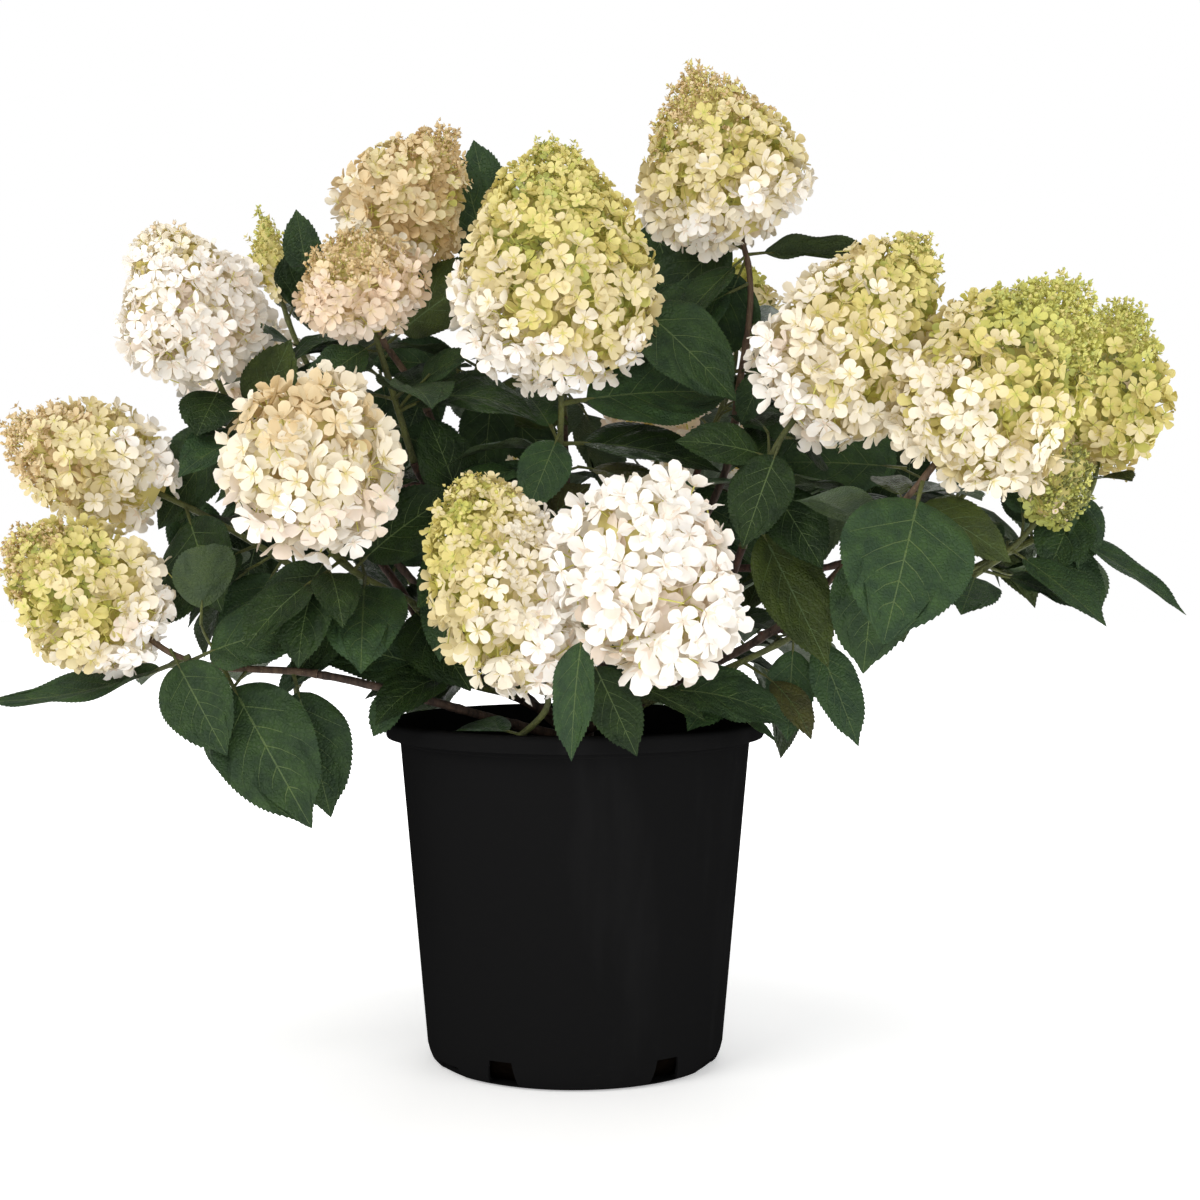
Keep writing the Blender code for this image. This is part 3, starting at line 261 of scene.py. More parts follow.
SHOOTS = [
    Shoot("shoot_top_right", (118, 0, 470), (125, 0, 598), (84, -10, 731), 64, 0.85, 1, [
        Leaf(0.97, (10, -2, 1), 98, 40, (0, 0.35, 1), 10),
        Leaf(0.96, (-7, -3, -6), 84, 34, (-0.4, -0.6, 0.6), 15),
        Leaf(0.94, (-3.5, 3, -8), 84, 62, (0, -1, 0.3), 10),
        Leaf(0.80, (-9, 1, -4), 100, 54, (0, -0.8, 0.6), 20),
        Leaf(0.55, (6, 6, 3), 96, 54),
    ]),
    Shoot("shoot_top_centre", (-15, -40, 400), (-9, -80, 490), (-16, -110, 662), 72, 0.7, 1, [
        Leaf(0.90, (10, 1.5, 2), 132, 70, (0, -0.8, 0.5), 25),
        Leaf(0.60, (9.5, -1, 0.5), 118, 58, (0, -0.5, 0.9), 30),
        Leaf(0.35, (-6, -4, -1), 78, 42, (0, -0.8, 0.5), 40),
        Leaf(0.70, (-2, -5, -5), 74, 38, (0, -1, 0.2), 20),
    ]),
    Shoot("shoot_top_left", (-110, 20, 480), (-155, 30, 590), (-91, 20, 692), 49, 0.7, 1, [
        Leaf(0.45, (7.5, -4, 6.5), 110, 60, (0, -0.8, 0.5), 30),
        Leaf(0.60, (-3, 7, 4), 92, 52),
    ]),
    Shoot("shoot_dusty", (-115, -45, 440), (-141, -60, 530), (-162, -80, 602), 48, 0.4, 1, [
        Leaf(0.95, (-8, -4, -5), 66, 40, (-0.2, -0.8, 0.6), 20),
        Leaf(0.40, (8.5, -4, 5), 108, 62, (0, -0.5, 0.9), 75),
        Leaf(0.20, (-8, -3, 3), 90, 50, (0, -0.5, 0.9), 60),
    ]),
    Shoot("shoot_left_high", (-190, 0, 420), (-261, -10, 500), (-302, -30, 613), 55, 0.6, 1, [
        Leaf(0.75, (-4.5, -4, -7), 104, 68, (-0.3, -1, 0.3), 12),
        Leaf(0.97, (-1.5, -7, -5), 58, 44, (0, -1, 0.3), 15),
        Leaf(0.45, (-5, 6, 5), 92, 52),
        Leaf(0.60, (3, -4, 7), 74, 44, (0, -0.9, 0.3), 20),
    ]),
    Shoot("shoot_left_bud", (-170, 75, 450), (-230, 95, 572), (-247, 98, 642), 20, 0.8, 1, [
        Leaf(0.88, (3.5, -4.5, 7), 70, 46, (0.1, -1, 0.3), 10),
        Leaf(0.70, (-4, -5, 2), 66, 38, (-0.2, -0.7, 0.7), 30),
        Leaf(0.45, (-8, 4, 3), 92, 50),
    ]),
    Shoot("shoot_round_left", (-110, -40, 335), (-173, -96, 388), (-179, -180, 488), 63, 0.2, 1, [
        Leaf(0.45, (-6, -3, -7), 92, 44, (-0.3, -0.9, 0.3), 15),
        Leaf(0.85, (-5, -3, -7), 88, 52, (-0.2, -1, 0.3), 15),
        Leaf(0.12, (4.5, -5, -5), 88, 60, (0.2, -1, 0.4), 20),
        Leaf(0.60, (6, -3, 6), 96, 54, (0, -0.9, 0.5), 40),
    ]),
    Shoot("shoot_left_mid", (-170, -30, 345), (-290, -40, 414), (-406, -60, 468), 46, 0.5, 1, [
        Leaf(0.92, (3, -6, -7), 96, 58, (-0.3, -1, 0.2), 15),
        Leaf(0.35, (-4, -3, -6), 88, 48, (-0.3, -1, 0.4), 20),
        Leaf(0.65, (-2, 8, 3), 96, 54),
    ]),
    Shoot("shoot_left_low", (-178, -98, 292), (-288, -100, 312), (-388, -120, 390), 51, 0.5, 0, [
        Leaf(0.15, (3, -3.5, -9), 106, 56, (0.2, -1, 0.3), 12),
        Leaf(0.58, (5, -4, -8), 138, 74, (-0.15, -1, 0.35), 12),
        Leaf(0.92, (4, -4, -8), 94, 52, (-0.3, -1, 0.35), 12),
        Leaf(0.80, (-10, 1, -4.5), 150, 48, (-0.1, -0.4, 1), -26),
        Leaf(0.76, (8, -5, 4), 108, 58, (0, -0.8, 0.6), 35),
        Leaf(0.40, (-2, 7, 3), 90, 48),
    ]),
    Shoot("shoot_front_left", (-45, -99, 240), (-18, -126, 282), (-72, -168, 427), 53, 0.25, 0, [
        Leaf(0.25, (-8, 2, 1), 84, 40, (0, -0.6, 0.9), 40),
    ]),
    Shoot("shoot_front_right", (50, -78, 272), (66, -142, 300), (36, -226, 423), 63, 0.0, 1, [
        Leaf(0.40, (8, -3, 1), 96, 52, (0, -0.6, 0.8), 50),
    ]),
    Shoot("shoot_right_high", (120, -60, 380), (148, -100, 462), (244, -112, 593), 61, 0.65, 1, [
        Leaf(0.90, (-3.5, -5, -8), 86, 46, (-0.2, -1, 0.3), 15),
        Leaf(0.60, (4.5, -5, -7), 82, 46, (0.2, -1, 0.2), 15),
        Leaf(0.75, (-8, -3, 3), 70, 38, (0, -0.8, 0.6), 35),
        Leaf(0.28, (4, -4, -8), 124, 52, (0.2, -1, 0.2), 10),
        Leaf(0.93, (8, 3, -3), 92, 50, (0, -0.8, 0.6), 25),
    ]),
    Shoot("shoot_right_front", (175, -70, 350), (240, -130, 430), (342, -150, 560), 66, 0.6, 1, [
        Leaf(0.97, (-2.5, -5, -8), 128, 94, (0.05, -1, 0.35), 10),
        Leaf(0.55, (-1, -1.5, -10), 100, 62, (0.1, -1, 0.1), 8),
        Leaf(0.80, (8, -2, -3), 86, 46, (0, -0.7, 0.7), 30),
    ]),
    Shoot("shoot_right_far", (270, -10, 350), (380, -20, 432), (404, -10, 563), 46, 0.6, 1, [
        Leaf(0.62, (8.5, -3, -4.5), 114, 38, (0.2, -0.4, 1), 15),
        Leaf(0.85, (-3.5, -6, -5), 74, 46, (0, -1, 0.4), 15),
        Leaf(0.93, (-1, -3, -9), 66, 34, (0.4, -0.9, 0.1), 12),
        Leaf(0.97, (3, -7, 3), 46, 32, (0.2, -0.7, 0.7), 20),
        Leaf(0.70, (2, 8, 2), 96, 54),
    ]),
    Shoot("shoot_right_bud", (255, -52, 338), (332, -50, 400), (362, -62, 452), 28, 0.5, 0, [
        Leaf(0.70, (7.5, -4, -5.6), 96, 40, (0.3, -0.6, 0.8), 12),
        Leaf(0.40, (-2, -7, -2), 66, 44, (0, -1, 0.5), 20),
    ]),
    Shoot("shoot_behind_right", (95, 80, 440), (125, 100, 533), (128, 100, 604), 36, 0.7, 1, [
        Leaf(0.80, (7, -3, 4), 84, 48, (0, -0.8, 0.5), 30),
    ]),
    Shoot("shoot_behind_centre", (30, 40, 380), (62, 58, 455), (52, 50, 520), 42, 0.4, 1, [
        Leaf(0.60, (8, -2, -2), 96, 52, (0, -0.8, 0.6), 35),
    ]),
    Shoot("shoot_back_centre", (-10, 120, 480), (-12, 185, 560), (-20, 205, 690), 56, 0.75, 2),
    Shoot("shoot_back_right_high", (150, 125, 430), (215, 185, 505), (245, 205, 620), 54, 0.7, 2),
    Shoot("shoot_back_left_high", (-185, 125, 410), (-255, 165, 480), (-300, 185, 588), 52, 0.7, 2),
    Shoot("shoot_back_left", (-130, 150, 345), (-205, 235, 395), (-240, 290, 480), 54, 0.5, 2),
    Shoot("shoot_back_low", (-20, 130, 320), (-55, 265, 385), (-70, 345, 460), 57, 0.4, 2),
    Shoot("shoot_back_right", (80, 140, 340), (110, 250, 420), (125, 325, 520), 55, 0.6, 2),
    Shoot("shoot_right_back", (215, 80, 370), (315, 130, 430), (365, 165, 540), 52, 0.7, 2),
    Shoot("sprout_front", None, (8, -186, 334), pairs=0, parent="cane_front_right", at=0.35, leaves=[
        Leaf(0.98, (-1.6, -3, -10), 92, 34, (-0.6, -1, 0), 14),
        Leaf(0.74, (4, -3, -8), 78, 38, (0.2, -1, 0), 12),
        Leaf(0.55, (9.5, -3, -3), 112, 34, (0.1, -0.6, 1), 25),
        Leaf(0.45, (-7, -1, 2), 84, 42, (0, -0.7, 0.8), 45),
    ]),
    Shoot("sprout_left", None, (-88, -70, 290), pairs=0, parent="cane_left", at=0.25, leaves=[
        Leaf(0.97, (-9.5, -1, 3.5), 112, 52, (0, -0.9, 0.6), 30),
        Leaf(0.92, (-5, -6, 1), 78, 42, (0, -0.7, 0.8), 70),
        Leaf(0.50, (-2, 7, 4), 90, 48),
    ]),
    Shoot("sprout_right", None, (172, -64, 326), pairs=0, parent="cane_front_right", at=0.7, leaves=[
        Leaf(0.97, (3.8, -2, -9), 92, 38, (0.4, -1, 0), 8),
        Leaf(0.88, (-1, -3, -9), 76, 36, (-0.2, -1, 0), 8),
        Leaf(0.60, (-3, -4, -7), 92, 50, (0, -1, 0.2), 12),
        Leaf(0.80, (2, 7, 2), 96, 54),
    ]),
    Shoot("sprout_top", None, (-62, 72, 582), pairs=0, parent="cane_left_high", at=0.8, leaves=[
        Leaf(0.98, (-2.5, -1, 9.5), 102, 54, (0, -1, 0.2), 10),
        Leaf(0.70, (7, -4, 3), 92, 50, (0, -0.8, 0.6), 35),
        Leaf(0.50, (-5, -5, 3), 84, 46, (0, -0.9, 0.5), 40),
        Leaf(0.40, (6, -5, -1), 88, 48, (0, -0.9, 0.5), 30),
    ]),
    Shoot("sprout_inner", None, (-78, -62, 398), pairs=0, parent="cane_centre", at=0.62, leaves=[
        Leaf(0.97, (-2, -3, 8), 84, 46, (0, -1, 0.3), 25),
        Leaf(0.93, (5, -6, 3), 84, 46, (0, -1, 0.3), 25),
        Leaf(0.70, (-4, -6, -3), 86, 48, (0, -1, 0.4), 20),
        Leaf(0.50, (5, -3, 7), 84, 46, (0, -0.9, 0.4), 35),
    ]),
    Shoot("sprout_back_right", None, (150, 170, 320), pairs=2, parent="cane_back_right", at=0.35),
    Shoot("sprout_back_left", None, (-165, 110, 320), pairs=2, parent="cane_back_left", at=0.3),
]

CANES = [
    Cane("cane_left_low", "shoot_left_low", (0, 0, 237), (-8, -4, 2)),
    Cane("cane_left", "shoot_left_mid", (0, 0, 249), (-8, -1, 3)),
    Cane("cane_left_high", "shoot_top_left", (-7, 4, 262), (-2, 1, 8)),
    Cane("cane_centre", "shoot_top_centre", (-1, -8, 262), (-1, -2, 8)),
    Cane("cane_front_left", "shoot_front_left", (-46, -88, 224.3), (0, -1, 8)),
    Cane("cane_front_right", "shoot_front_right", (0, 0, 238), (4, -8, 4)),
    Cane("cane_right_high", "shoot_top_right", (8, 0, 262), (3, 0, 8)),
    Cane("cane_right", "shoot_right_front", (0, 0, 247), (8, -3, 4)),
    Cane("cane_back_left", "shoot_back_left_high", (0, 0, 237), (-6, 6, 4)),
    Cane("cane_back", "shoot_back_centre", (1, 8, 262), (0, 3, 8)),
    Cane("cane_back_right", "shoot_back_right_high", (0, 0, 238), (6, 6, 4)),
    Cane("bough_round_left", "shoot_round_left", parent="cane_left", at=0.45, lift=(-6, -5, 6)),
    Cane("bough_left_high", "shoot_left_high", parent="cane_left", at=0.62, lift=(-3, 2, 9)),
    Cane("bough_dusty", "shoot_dusty", parent="cane_left_high", at=0.55, lift=(-4, -5, 8)),
    Cane("bough_left_bud", "shoot_left_bud", parent="cane_left_high", at=0.68, lift=(-6, 6, 6)),
    Cane("bough_behind_centre", "shoot_behind_centre", parent="cane_centre", at=0.40, lift=(5, 4, 6)),
    Cane("bough_behind_right", "shoot_behind_right", parent="cane_right_high", at=0.50, lift=(1, 7, 7)),
    Cane("bough_right_high", "shoot_right_high", parent="cane_right", at=0.50, lift=(2, -2, 9)),
    Cane("bough_right_far", "shoot_right_far", parent="cane_right", at=0.72, lift=(8, 4, 4)),
    Cane("bough_right_bud", "shoot_right_bud", parent="cane_right", at=0.88, lift=(8, 2, 0)),
    Cane("bough_back_left", "shoot_back_left", parent="cane_back_left", at=0.55, lift=(-3, 7, 3)),
    Cane("bough_back_low", "shoot_back_low", parent="cane_back", at=0.30, lift=(-1, 8, 3)),
    Cane("bough_back_right", "shoot_back_right", parent="cane_back_right", at=0.45, lift=(0, 8, 4)),
    Cane("bough_right_back", "shoot_right_back", parent="cane_back_right", at=0.65, lift=(8, -1, 2)),
]

# Tints of the petals, buds and stalks. A petal's heart takes the next tint in the list.
PETAL_TINTS = {
    "white": (0.91, 0.885, 0.855),
    "blush": (0.84, 0.745, 0.66),
    "ivory": (0.83, 0.77, 0.64),
    "cream": (0.73, 0.64, 0.38),
    "lemon": (0.66, 0.585, 0.22),
    "lime": (0.58, 0.57, 0.15),
    "bud_green": (0.45, 0.48, 0.13),
    "olive": (0.20, 0.21, 0.06),
    "dusty": (0.78, 0.64, 0.50),
    "buff": (0.74, 0.61, 0.39),
    "tan": (0.66, 0.50, 0.27),
    "brown": (0.50, 0.36, 0.16),
    "umber": (0.24, 0.14, 0.08),
}
TINT_NAMES = tuple(PETAL_TINTS)
# Light that comes through the thin petals, in place of true translucency
PETAL_GLOW = 0.065

# Petals and florets. Corners of half a petal's outline, one unit long, and a point on its middle
PETAL_OUTLINE = ((0.0, 0.0), (0.14, 0.14), (0.40, 0.41), (0.70, 0.52), (0.95, 0.32), (1.03, 0.0))
PETAL_MIDDLE = (0.52, 0.0)
PETAL_FACES = ((10, 1, 0), (10, 0, 9)) + tuple((10, i + 1, i) for i in range(1, 9))
HEART_FACES = 2
# How far the petals of each kind of floret cup upwards and sag outwards
FLORET_SHAPES = ((0.42, 0.02), (0.24, 0.14), (0.55, -0.10), (0.40, -0.50))
# Depths of a head's layers of florets below its outline, in floret widths, and how close each layer stands
LAYERS = ((0.42, 0.90), (0.92, 0.80))
ROW_STEP = 0.86
OUTLINE_STEPS = 300
LAST_PLACE = 0.9995
LUMP_SCALE = 34.0
LOOSE_FLORETS = 0.12
# Florets deep in a head take later tints of its list, and often the next tint of all: darker, warmer tints,
# partly the yellower young florets there and partly painted shade of the head's depths
DEPTH_SHADE_SHIFT = 0.30
DEEPER_SHADE_TINT = 1.9
DEEPEST_TINT = len(PETAL_TINTS) - 3
BUD_BLEND = 0.15
SPRIG_SPACING = 0.0074
SPRIG_INSET = 0.004
SPRIG_LENGTH = 0.015
SPRIG_RADII = (0.0006, 0.0005, 0.0003)
SPRIG_BUDS = 8
# How wide the tangle of stalks inside a head is, as a share of the head
HEART_SHARE = 0.50

BLOOMS = {
    "shoot_top_right": Bloom(("white", "ivory", "cream", "cream", "lemon", "lemon"), 0.68, "tan", 0.42, 0.78),
    "shoot_top_centre": Bloom(
        ("white", "ivory", "cream", "cream", "lemon", "lemon", "lemon"), 0.90, "lime", 0.42, 0.80, 0.16
    ),
    "shoot_top_left": Bloom(("ivory", "buff", "buff", "cream", "buff", "tan"), 0.78, "tan", 0.42, 0.76),
    "shoot_dusty": Bloom(("blush", "dusty", "dusty", "dusty", "buff", "tan"), 0.68, "tan", 0.42, 0.70),
    "shoot_left_high": Bloom(("white",) * 5 + ("ivory",), 0.98, "buff", 0.50, 0.82),
    "shoot_left_bud": Bloom(("cream", "lemon", "lime", "lemon"), 0.35, "lime", 0.5, 0.6),
    "shoot_round_left": Bloom(
        ("white", "blush", "white", "blush", "ivory", "ivory", "ivory", "buff"), 1.0, "tan", 0.80, 1.06
    ),
    "shoot_left_mid": Bloom(("white", "ivory", "cream", "cream", "buff", "buff"), 0.80, "tan", 0.42, 0.78),
    "shoot_left_low": Bloom(
        ("white", "ivory", "cream", "cream", "lemon", "lemon", "lemon"), 0.82, "tan", 0.42, 0.78
    ),
    "shoot_front_left": Bloom(
        ("white", "white", "ivory", "ivory", "cream", "cream", "lemon"), 0.94, "lemon", 0.42, 0.84, -0.38
    ),
    "shoot_front_right": Bloom(("white",), 1.0, "tan", 0.92, 1.14),
    "shoot_right_high": Bloom(
        ("white", "ivory", "ivory", "cream", "cream", "lemon", "lemon"), 0.92, "lime", 0.5, 0.90, 0.28
    ),
    "shoot_right_front": Bloom(
        ("ivory", "ivory", "cream", "lemon", "lime", "lime"), 0.74, "lime", 0.42, 0.80
    ),
    "shoot_right_far": Bloom(("cream", "lemon", "lemon", "lime", "lime"), 0.66, "lime", 0.45, 0.78),
    # The bud on the right is olive: partly its own colour, partly painted shade, as it stands in shadow.
    "shoot_right_bud": Bloom(("bud_green", "olive"), 0.15, "bud_green", 0.4, 0.5),
    "shoot_behind_right": Bloom(("ivory", "cream", "lime"), 0.9, "lime", 0.5, 0.85),
    "shoot_behind_centre": Bloom(("blush", "white", "ivory"), 1.0, "tan", 0.7, 0.85),
    "shoot_back_centre": Bloom(("white", "ivory", "cream", "cream", "lemon"), 0.80, "tan", 0.45, 0.95),
    "shoot_back_right_high": Bloom(("ivory", "ivory", "cream", "lemon", "lime"), 0.80, "lime", 0.45, 0.95),
    "shoot_back_left_high": Bloom(("blush", "white", "white", "ivory", "cream"), 0.88, "tan", 0.5, 1.0),
    "shoot_back_left": Bloom(("white", "white", "ivory", "ivory", "cream"), 0.92, "tan", 0.6, 1.0),
    "shoot_back_low": Bloom(("ivory", "cream", "cream", "lemon"), 0.80, "lime", 0.45, 0.92),
    "shoot_back_right": Bloom(("white", "white", "blush", "ivory"), 1.0, "tan", 0.8, 1.05),
    "shoot_right_back": Bloom(("ivory", "cream", "lemon", "lime"), 0.78, "tan", 0.45, 0.92),
}

# Leaves of each kind: factors of the ordinary green, and how dark their patches are
LEAF_LOOKS = {
    "leaf_blue_green": ((1.09, 1.06, 1.30), 0.60),
    "leaf_deep_green": ((0.72, 0.72, 0.72), 0.58),
    "leaf_mid_green": ((1.24, 1.24, 1.60), 0.60),
    "leaf_olive": ((1.75, 1.25, 1.05), 0.62),
    "leaf_bronze": ((2.15, 1.10, 1.20), 0.60),
}
# Colours of a leaf's other parts, and how dark their patches are
PLAIN_LOOKS = {
    "leaf_underside": ((0.064, 0.094, 0.036), 0.80),
    "leaf_vein": ((0.098, 0.145, 0.046), 0.85),
    "stem_green": ((0.125, 0.140, 0.040), 0.62),
}
LEAF_SLOTS = (*LEAF_LOOKS, *PLAIN_LOOKS)
# The first slots of LEAF_SLOTS are greens, then come olive and bronze
GREENS = 3
UNDERSIDE = LEAF_SLOTS.index("leaf_underside")
VEIN = LEAF_SLOTS.index("leaf_vein")
STALK = LEAF_SLOTS.index("stem_green")

# The sides of the plant, each with its own meshes of leaves, florets and buds
REGIONS = ("left", "centre", "right", "back")

# A leaf with this many of its corners in front of a head is left out
HIDING_POINTS = 2
# Windows of open sky in the photo's 1200 x 1200 frame: middle and half width and height of each ellipse
SKY_WINDOWS = (
    (330, 165, 45, 60),
    (520, 110, 60, 45),
    (645, 120, 26, 60),
    (860, 130, 95, 95),
    (1000, 220, 90, 60),
    (785, 285, 36, 22),
    (722, 262, 14, 22),
    (70, 250, 60, 130),
    (195, 398, 50, 16),
    (60, 700, 60, 60),
    (330, 720, 26, 46),
    (940, 740, 90, 80),
    (1120, 700, 90, 70),
    (980, 645, 38, 48),
    (1050, 672, 60, 55),
    (1145, 650, 45, 42),
    (500, 716, 60, 30),
    (675, 732, 35, 20),
    (450, 322, 18, 14),
    (535, 765, 75, 34),
    (700, 768, 60, 30),
    (640, 775, 60, 40),
)
# Leaves that fill the crown where the photo has no sky: place of the blade's middle in the photo's frame,
# depth behind the plant's axis in millimetres, length, and the way it points across and up
FILL_LEAVES = (
    (440, 448, -10, 72, 0.9, -0.3),
    (486, 436, 10, 82, -0.15, -1.0),
    (412, 408, 40, 92, -0.5, -0.8),
    (520, 425, 60, 96, 0.6, -0.5),
    (392, 430, 60, 84, 0.2, -1.0),
    (690, 272, 45, 92, -0.7, -0.6),
    (664, 255, 80, 80, 0.3, -0.9),
    (835, 460, -30, 98, -0.9, 0.1),
    (868, 448, 10, 84, 0.5, -0.7),
    (800, 452, 20, 90, 0.1, -1.0),
    (303, 246, 60, 60, -0.2, 1.0),
    (482, 182, 70, 74, -0.3, 1.0),
    (688, 345, -40, 112, 0.75, -0.62),
    (752, 456, -70, 76, -0.4, -1.0),
    (752, 396, -60, 50, -0.5, -0.9),
    (384, 712, -70, 46, -0.5, -0.9),
    (250, 560, 20, 90, -0.3, -1.0),
    (200, 540, 40, 90, 0.4, -0.9),
)

# Depths tried for each of them, from its own depth, until one has room
DEPTHS_TRIED = (0, 15, -15, 30, -30, 50, 70, -45, 90)

# The studio: the floor's rings, how far out it glows and how much, and the lights
FLOOR_SIDES = 96
FLOOR_RINGS = (0.2, 0.5, 1.2, 3.0, 7.0)
GLOW_REACH = (0.25, 1.5)
GLOW_STRENGTH = (0.38, 1.0)
# Each light: name, place, size, share of the key light's power, colour
LIGHTS = (
    ("key_light", (-1.5, -1.7, 2.1), 1.6, 1.0, (1.0, 0.985, 0.96)),
    ("fill_light", (1.9, -1.4, 1.0), 1.8, 0.35, (0.98, 0.99, 1.0)),
    ("front_light", (0.1, -2.6, 0.75), 1.4, 0.24, (1.0, 0.99, 0.97)),
    ("back_light", (0.4, 1.9, 2.0), 1.6, 0.6, (1.0, 1.0, 1.0)),
)
LIGHTS_AIM = Vector((0, 0, 0.4))

CAMERA_PLACE = Vector((0.0185, -1.6, 0.400))
CAMERA_AIM = Vector((0.0185, 0.0, 0.340))
CAMERA_LENS = 64.85
PHOTO_SIDE = 1200
SENSOR_WIDTH = 36.0
FOCAL_LENGTH = PHOTO_SIDE * CAMERA_LENS / SENSOR_WIDTH
CAMERA_SLOPE = (CAMERA_PLACE.z - CAMERA_AIM.z) / (CAMERA_AIM.y - CAMERA_PLACE.y)


# Sizes and colours that a user may change


def length_setting(name, description, default, least, **limits):
    limits |= {"min": least, "unit": "LENGTH"}
    return FloatProperty(name=name, description=description, default=default, **limits)


def colour_setting(name, description, default):
    return FloatVectorProperty(
        name=name, description=description, default=default, subtype="COLOR", size=3, min=0, max=1
    )


class PotSettings(PropertyGroup):
    """The nursery pot and its potting mix."""

    wall_segments: IntProperty(
        name="Segments", description="Steps round the pot's turned wall", default=128, min=32, max=256
    )
    lip_rounding: length_setting("Lip rounding", "Radius of the lip's outer edge", 0.0035, 0.001, max=0.006)
    plastic: colour_setting("Plastic", "Colour of the moulded plastic", (0.0076, 0.0076, 0.0078))
    soil: colour_setting("Potting mix", "Colour of the damp potting mix", (0.014, 0.0095, 0.0065))
    crumbs_per_area: FloatProperty(
        name="Crumbs", description="Bark crumbs on each square metre of the mix", default=17000, min=0
    )


class BarkSettings(PropertyGroup):
    """The woody trunk, canes and boughs."""

    relief: length_setting("Relief", "How far the bark's ridges stand out", 0.00035, 0, max=0.002)
    node_spacing: length_setting("Joint spacing", "Distance between a cane's swollen joints", 0.052, 0.01)
    bark: colour_setting("Bark", "Colour of the bark's ridges", (0.078, 0.044, 0.028))


class LeafSettings(PropertyGroup):
    """The leaves and the green stems that carry them."""

    thickness: length_setting("Thickness", "Thickness of the blade", 0.0004, 0.0001)
    tooth: length_setting("Tooth height", "How far the teeth stand out of the edge", 0.0009, 0)
    tooth_spacing: length_setting("Tooth spacing", "Distance between two teeth of the edge", 0.0032, 0.001)
    quilting: length_setting("Quilting", "How far the blade bulges between its veins", 0.0032, 0)
    green: colour_setting("Green", "Colour of an ordinary leaf's upper face", (0.033, 0.066, 0.016))


class FlowerSettings(PropertyGroup):
    """The florets and buds of the flower heads."""

    floret_width: length_setting("Floret width", "Width of an open floret across two petals", 0.0245, 0.005)
    floret_spacing: length_setting("Floret spacing", "Distance between florets on a head", 0.0142, 0.005)
    bud_radius: length_setting("Bud radius", "Radius of a closed bud", 0.0015, 0.0005)
    size_spread: FloatProperty(
        name="Size spread", description="How much florets of one head differ in size", default=0.18, min=0,
        max=0.5, subtype="FACTOR"
    )


class StudioSettings(PropertyGroup):
    """The pale floor and the soft lights."""

    floor: colour_setting("Floor", "Colour of the studio floor", (0.90, 0.90, 0.90))
    key_power: FloatProperty(
        name="Key light", description="Power of the large soft light", default=33.0, min=0, unit="POWER"
    )
    surround: FloatProperty(
        name="Surround", description="Strength of the light from all round", default=0.50, min=0
    )


# Node groups shared by the finishes


def node_group(name, kind, inputs, outputs):
    """An empty node tree with named sockets, and its two end nodes."""
    tree = bpy.data.node_groups.new(name, kind)
    for label, socket, value in inputs:
        made = tree.interface.new_socket(label, in_out="INPUT", socket_type=socket)
        if value is not None:
            made.default_value = value
    for label, socket in outputs:
        tree.interface.new_socket(label, in_out="OUTPUT", socket_type=socket)
    return tree, tree.nodes.new("NodeGroupInput"), tree.nodes.new("NodeGroupOutput")


def feed(tree, socket, value):
    """Sets a socket to a number, or links another socket to it."""
    if isinstance(value, (int, float)):
        socket.default_value = value
    else:
        tree.links.new(value, socket)


def new_node(tree, kind, links, **values):
    """A node with some of its sockets fed and some of its own values set."""
    made = tree.nodes.new(kind)
    for label, value in values.items():
        setattr(made, label, value)
    for label, value in links.items():
        feed(tree, made.inputs[label], value)
    return made


def noise_at(tree, place, scale, detail, roughness=0.55):
    sockets = {"Vector": place, "Scale": scale, "Detail": detail, "Roughness": roughness}
    return new_node(tree, "ShaderNodeTexNoise", sockets).outputs["Fac"]


def cells_at(tree, place, scale, feature="F1"):
    sockets = {"Vector": place, "Scale": scale}
    return new_node(tree, "ShaderNodeTexVoronoi", sockets, feature=feature).outputs["Distance"]


def ranged(tree, value, low, high, to_low=0.0, to_high=1.0):
    """Maps a value's range low..high onto to_low..to_high. Either end may be a socket."""
    sockets = {"Value": value, "From Min": low, "From Max": high, "To Min": to_low, "To Max": to_high}
    return new_node(tree, "ShaderNodeMapRange", sockets).outputs["Result"]


def mixed(tree, factor, first, second):
    sockets = {"Factor": factor, "A": first, "B": second}
    return new_node(tree, "ShaderNodeMix", sockets, data_type="RGBA").outputs["Result"]


def stretched(tree, place, height):
    """The place on the object, with its height scaled down so that what is drawn there runs upright."""
    made = new_node(tree, "ShaderNodeMapping", {"Vector": place})
    made.inputs["Scale"].default_value = (1.0, 1.0, height)
    return made.outputs["Vector"]


def surface_group(name, colours, numbers):
    """A shader group for a surface: its tree, its inputs, the place on the object, and its output node."""
    inputs = [(label, "NodeSocketColor", (*value, 1)) for label, value in colours.items()]
    inputs += [(label, "NodeSocketFloat", value) for label, value in numbers.items()]
    outputs = [("Colour", "NodeSocketColor"), ("Roughness", "NodeSocketFloat"), ("Height", "NodeSocketFloat")]
    tree, enter, leave = node_group(name, "ShaderNodeTree", inputs, outputs)
    return tree, enter.outputs, tree.nodes.new("ShaderNodeTexCoord").outputs["Object"], leave


def surface_results(tree, leave, colour, roughness, height):
    for label, value in (("Colour", colour), ("Roughness", roughness), ("Height", height)):
        tree.links.new(value, leave.inputs[label])
    return tree


